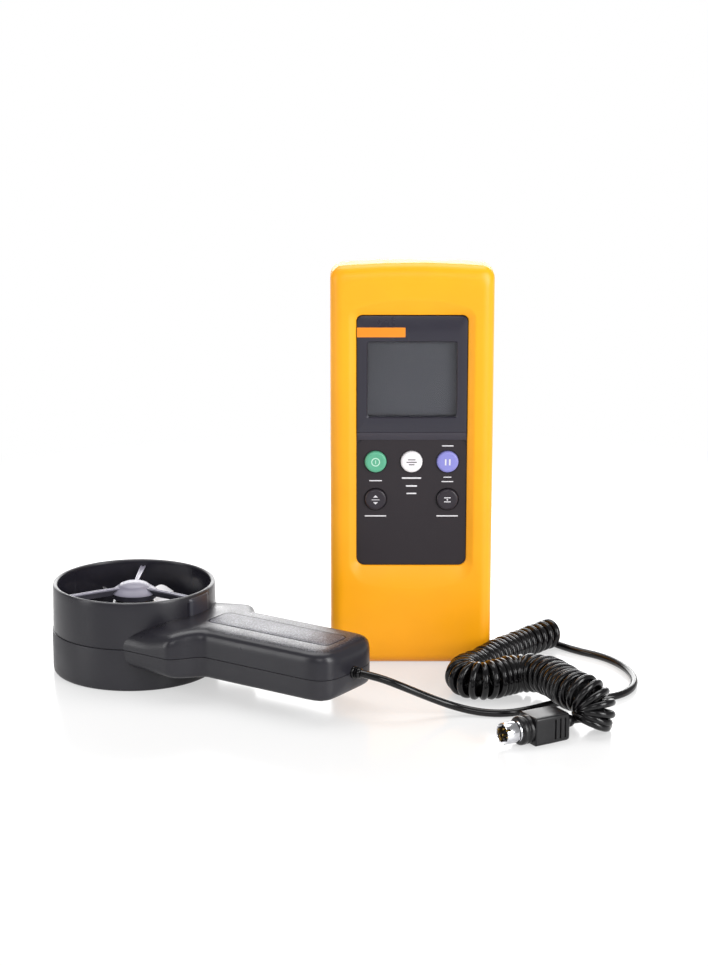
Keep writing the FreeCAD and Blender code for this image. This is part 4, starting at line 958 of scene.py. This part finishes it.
def build_plug():
    """Round multi-pin plug: keyed shell, insert with pins, collar, grip and relief."""
    shell = [(4.0, 4.4), (4.0, 0.35), (4.08, 0.1), (4.25, 0.0), (4.42, 0.1), (4.5, 0.4),
             (4.5, 6.3), (4.42, 6.45), (4.42, 6.75), (4.5, 6.9), (4.5, 7.6), (4.0, 7.6)]
    sleeve = lathe("plug_sleeve", shell, "chrome", plug_axis, 72, sharp=40)
    notches = []
    for angle, width, depth in ((-90, 2.2, 2.6), (35, 1.1, 2.0), (145, 1.1, 2.0)):
        notch = box_cutter((-1.0, -width / 2, 3.2), (depth, width / 2, 5.5))
        notch.data.transform(plug_place @ Matrix.Rotation(math.radians(angle - 90), 4, "X"))
        notches.append(notch)
    dimple = lathe("cutter", [(0, 4.25), (0.9, 4.25), (1.2, 5.2), (0, 5.2)], "black",
                   plug_place @ Matrix.Translation(mm(4.9, 0, 0)) @ Matrix.Rotation(
                       math.radians(112), 4, "X"), 24)
    carve(sleeve, *notches, dimple)
    mount(sleeve, "probe", "steel_polished", "plug_shell")
    core = [(0, 4.6), (3.1, 4.6), (3.3, 4.4), (3.85, 4.4), (3.95, 4.6), (3.95, 7.4), (0, 7.4)]
    turned("plug_core", core, "black", 48, "plug_insert")
    key = plate_block("plug_key", (0.9, -0.55, -2.9), (4.7, 0.55, -1.9), "black", 0.15)
    mount(key, "probe", "plug_black")
    for i, (y, z) in enumerate(((-1.7, -1.2), (1.7, -1.2), (-1.3, 1.5), (1.3, 1.5))):
        pin = [(0, 1.2), (0.22, 1.24), (0.36, 1.45), (0.4, 1.8), (0.4, 4.7), (0, 4.7)]
        mount(lathe(f"plug_pin_{i}", pin, "brass", plug_place @ Matrix.Translation(
            mm(0, y, z)) @ Matrix.Rotation(math.pi / 2, 4, "Y"), 20), "probe",
            "steel_polished", "plug_pins")
    nose = [(3.6, 7.2), (4.9, 7.2), (5.5, 7.35), (5.85, 7.7), (6.0, 8.2), (6.0, 9.6),
            (5.85, 9.95), (5.45, 10.1), (5.3, 10.3), (5.3, 10.7), (5.45, 10.85),
            (5.8, 11.0), (5.9, 11.3), (5.9, 12.8), (3.6, 12.8)]
    turned("plug_nose", nose, "plug", 72, "plug_body", 50)
    mount(plug_grip(), "probe", "plug_black", "plug_body")
    relief = [(1.75, 28.6), (3.1, 28.6), (3.0, 30.1), (2.85, 30.3), (2.55, 30.4),
              (2.55, 30.9), (2.75, 31.0), (2.75, 32.0), (2.45, 32.1), (2.45, 32.6),
              (2.6, 32.7), (2.5, 33.7), (2.2, 34.3), (1.75, 34.4)]
    turned("plug_relief", relief, "plug", 48, "plug_body", 50)


def plate_block(name, low, high, look, edge):
    """A small block in the plug's own frame with rounded edges."""
    block = box_cutter(low, high)
    block.name = block.data.name = name
    block.data.transform(plug_place)
    block.data.materials.clear()
    block.data.materials.append(looks[look])
    round_edges(block, edge)
    return settle(block)


def plug_grip():
    """The plug's square grip, drawn in at both ends, with three grooves on each side."""
    loops = []
    half_y, half_z = 6.3, 6.0
    for x, inset in ((12.4, 0.55), (12.5, 0.25), (12.8, 0.05), (13.2, 0), (20.0, 0),
                     (28.0, 0.1), (28.9, 0.3), (29.3, 0.65), (29.4, 1.0)):
        section = outline(half_y - inset, -half_z + inset, half_z - inset, 1.1, 1.1)
        loops.append([plug_place @ mm(x, y, z) for y, z in section])
    piece = as_piece("plug_grip", *loft(loops), "plug", sharp=40)
    grooves = []
    for x in (21.6, 24.0, 26.4):
        for side in (-1, 1):
            groove = box_cutter((x, min(side * 5.7, side * 7), -4.3),
                                (x + 0.9, max(side * 5.7, side * 7), 4.3))
            groove.data.transform(plug_place)
            grooves.append(groove)
    return carve(piece, *grooves)


# ---------------------------------------------------------------- carried-over CAD nodes


def dress_nodes():
    """Give every CAD node that still shows its material."""
    dress = {
        "case": ("front_case", "rear_case", "display_frame", "battery_door", "tilt_stand"),
        "lens": ("display_lens",),
        "liquid_crystal": ("display_glass",),
        "silicone": ("display_connectors", "keypad_sheet"),
        "label": ("keypad_label",),
        "board": ("main_board", "sensor_board"),
        "black": ("board_parts", "socket_insert", "pickup_sensor"),
        "zinc": ("board_screws", "stand_pin", "case_screws", "probe_screws"),
        "chrome": ("socket_shell", "upper_bearing", "lower_bearing", "rotor_shaft"),
        "jacket": ("battery",),
        "brass": ("battery_contacts",),
    }
    for look, nodes in dress.items():
        for node in nodes:
            materials = frame["nodes"][node].data.materials
            materials.clear()
            materials.append(looks[look])


# ---------------------------------------------------------------- studio


def build_floor():
    """A pale, slightly glossy floor that shows white to the camera and keeps shadows."""
    size = 40.0
    mesh = bpy.data.meshes.new("floor")
    mesh.from_pydata([(-size, -size, 0), (size, -size, 0), (size, size, 0), (-size, size, 0)],
                     [], [(0, 1, 2, 3)])
    floor = new_object("floor", mesh)
    material = bpy.data.materials.new("floor_white")
    material.use_nodes = True
    nodes, links = material.node_tree.nodes, material.node_tree.links
    shader = nodes["Principled BSDF"]
    shader.inputs["Base Color"].default_value = (0.86, 0.86, 0.86, 1)
    shader.inputs["Roughness"].default_value = 0.17
    shader.inputs["Specular IOR Level"].default_value = 0.9
    glow = add_node(nodes, "Emission", Color=(1, 1, 1, 1), Strength=1.0)
    path = add_node(nodes, "LightPath")
    mix = add_node(nodes, "MixShader")
    place = add_node(nodes, "TexCoord")
    distance = add_node(nodes, "VectorMath")
    distance.operation = "LENGTH"
    links.new(place.outputs["Object"], distance.inputs[0])
    fade = add_node(nodes, "MapRange", From_Min=0.16, From_Max=0.45, To_Min=0.55, To_Max=1.0)
    fade.interpolation_type = "SMOOTHSTEP"
    links.new(distance.outputs["Value"], fade.inputs["Value"])
    share = add_node(nodes, "Math")
    share.operation = "MULTIPLY"
    links.new(fade.outputs["Result"], share.inputs[1])
    seen = add_node(nodes, "Math")
    seen.operation = "MAXIMUM"
    links.new(path.outputs["Is Camera Ray"], seen.inputs[0])
    links.new(path.outputs["Is Glossy Ray"], seen.inputs[1])
    links.new(seen.outputs["Value"], share.inputs[0])
    links.new(share.outputs["Value"], mix.inputs["Fac"])
    links.new(shader.outputs["BSDF"], mix.inputs[1])
    links.new(glow.outputs["Emission"], mix.inputs[2])
    links.new(mix.outputs["Shader"], nodes["Material Output"].inputs["Surface"])
    mesh.materials.append(material)


def area_lamp(name, place, target, size, power):
    """A rectangular soft box that looks at target."""
    light = bpy.data.lights.new(name, "AREA")
    light.shape = "RECTANGLE"
    light.size, light.size_y = size
    light.energy = power
    lamp = new_object(name, light)
    lamp.location = place
    lamp.rotation_euler = (Vector(target) - Vector(place)).to_track_quat("-Z", "Y").to_euler()


def build_studio():
    """Soft boxes, a world that shows white, and the camera. Places in metres."""
    area_lamp("key_box", (0.85, -0.75, 0.5), (0, 0, 0.09), (0.5, 0.8), 12)
    area_lamp("top_box", (-0.1, 0.45, 1.4), (-0.05, 0, 0.05), (1.5, 0.9), 17)
    area_lamp("back_box", (-0.1, 1.9, 0.62), (-0.05, 0, 0.05), (2.2, 0.7), 26)
    area_lamp("front_box", (-0.25, -1.6, 0.9), (-0.02, 0, 0.08), (0.8, 0.6), 6)
    area_lamp("left_box", (-1.2, -0.5, 0.35), (-0.12, 0, 0.03), (0.25, 0.8), 4)
    world = bpy.data.worlds.new("studio")
    bpy.context.scene.world = world
    world.use_nodes = True
    nodes, links = world.node_tree.nodes, world.node_tree.links
    background = nodes["Background"]
    background.inputs["Color"].default_value = (1, 1, 1, 1)
    path = add_node(nodes, "LightPath")
    strength = add_node(nodes, "MapRange", To_Min=0.34, To_Max=1.0)
    links.new(path.outputs["Is Camera Ray"], strength.inputs["Value"])
    links.new(strength.outputs["Result"], background.inputs["Strength"])

    camera = bpy.data.cameras.new("camera")
    camera.sensor_width = 36.0
    camera.lens = 93.17
    camera.clip_end = 100.0
    eye = new_object("camera", camera)
    eye.location = mm(-25.44, -1088.56, 351.47)
    eye.rotation_euler = (math.radians(90 - 14.02), 0, 0)
    bpy.context.scene.camera = eye
    bpy.context.scene.view_settings.view_transform = "Standard"


build_studio()
build_floor()
dress_nodes()
build_holster()
build_display()
build_keys()
build_legends()
build_ring()
build_handle()
build_handle_details()
build_guards()
build_rotor()
build_collar()
cord, cord_exit = build_cord()
build_plug()
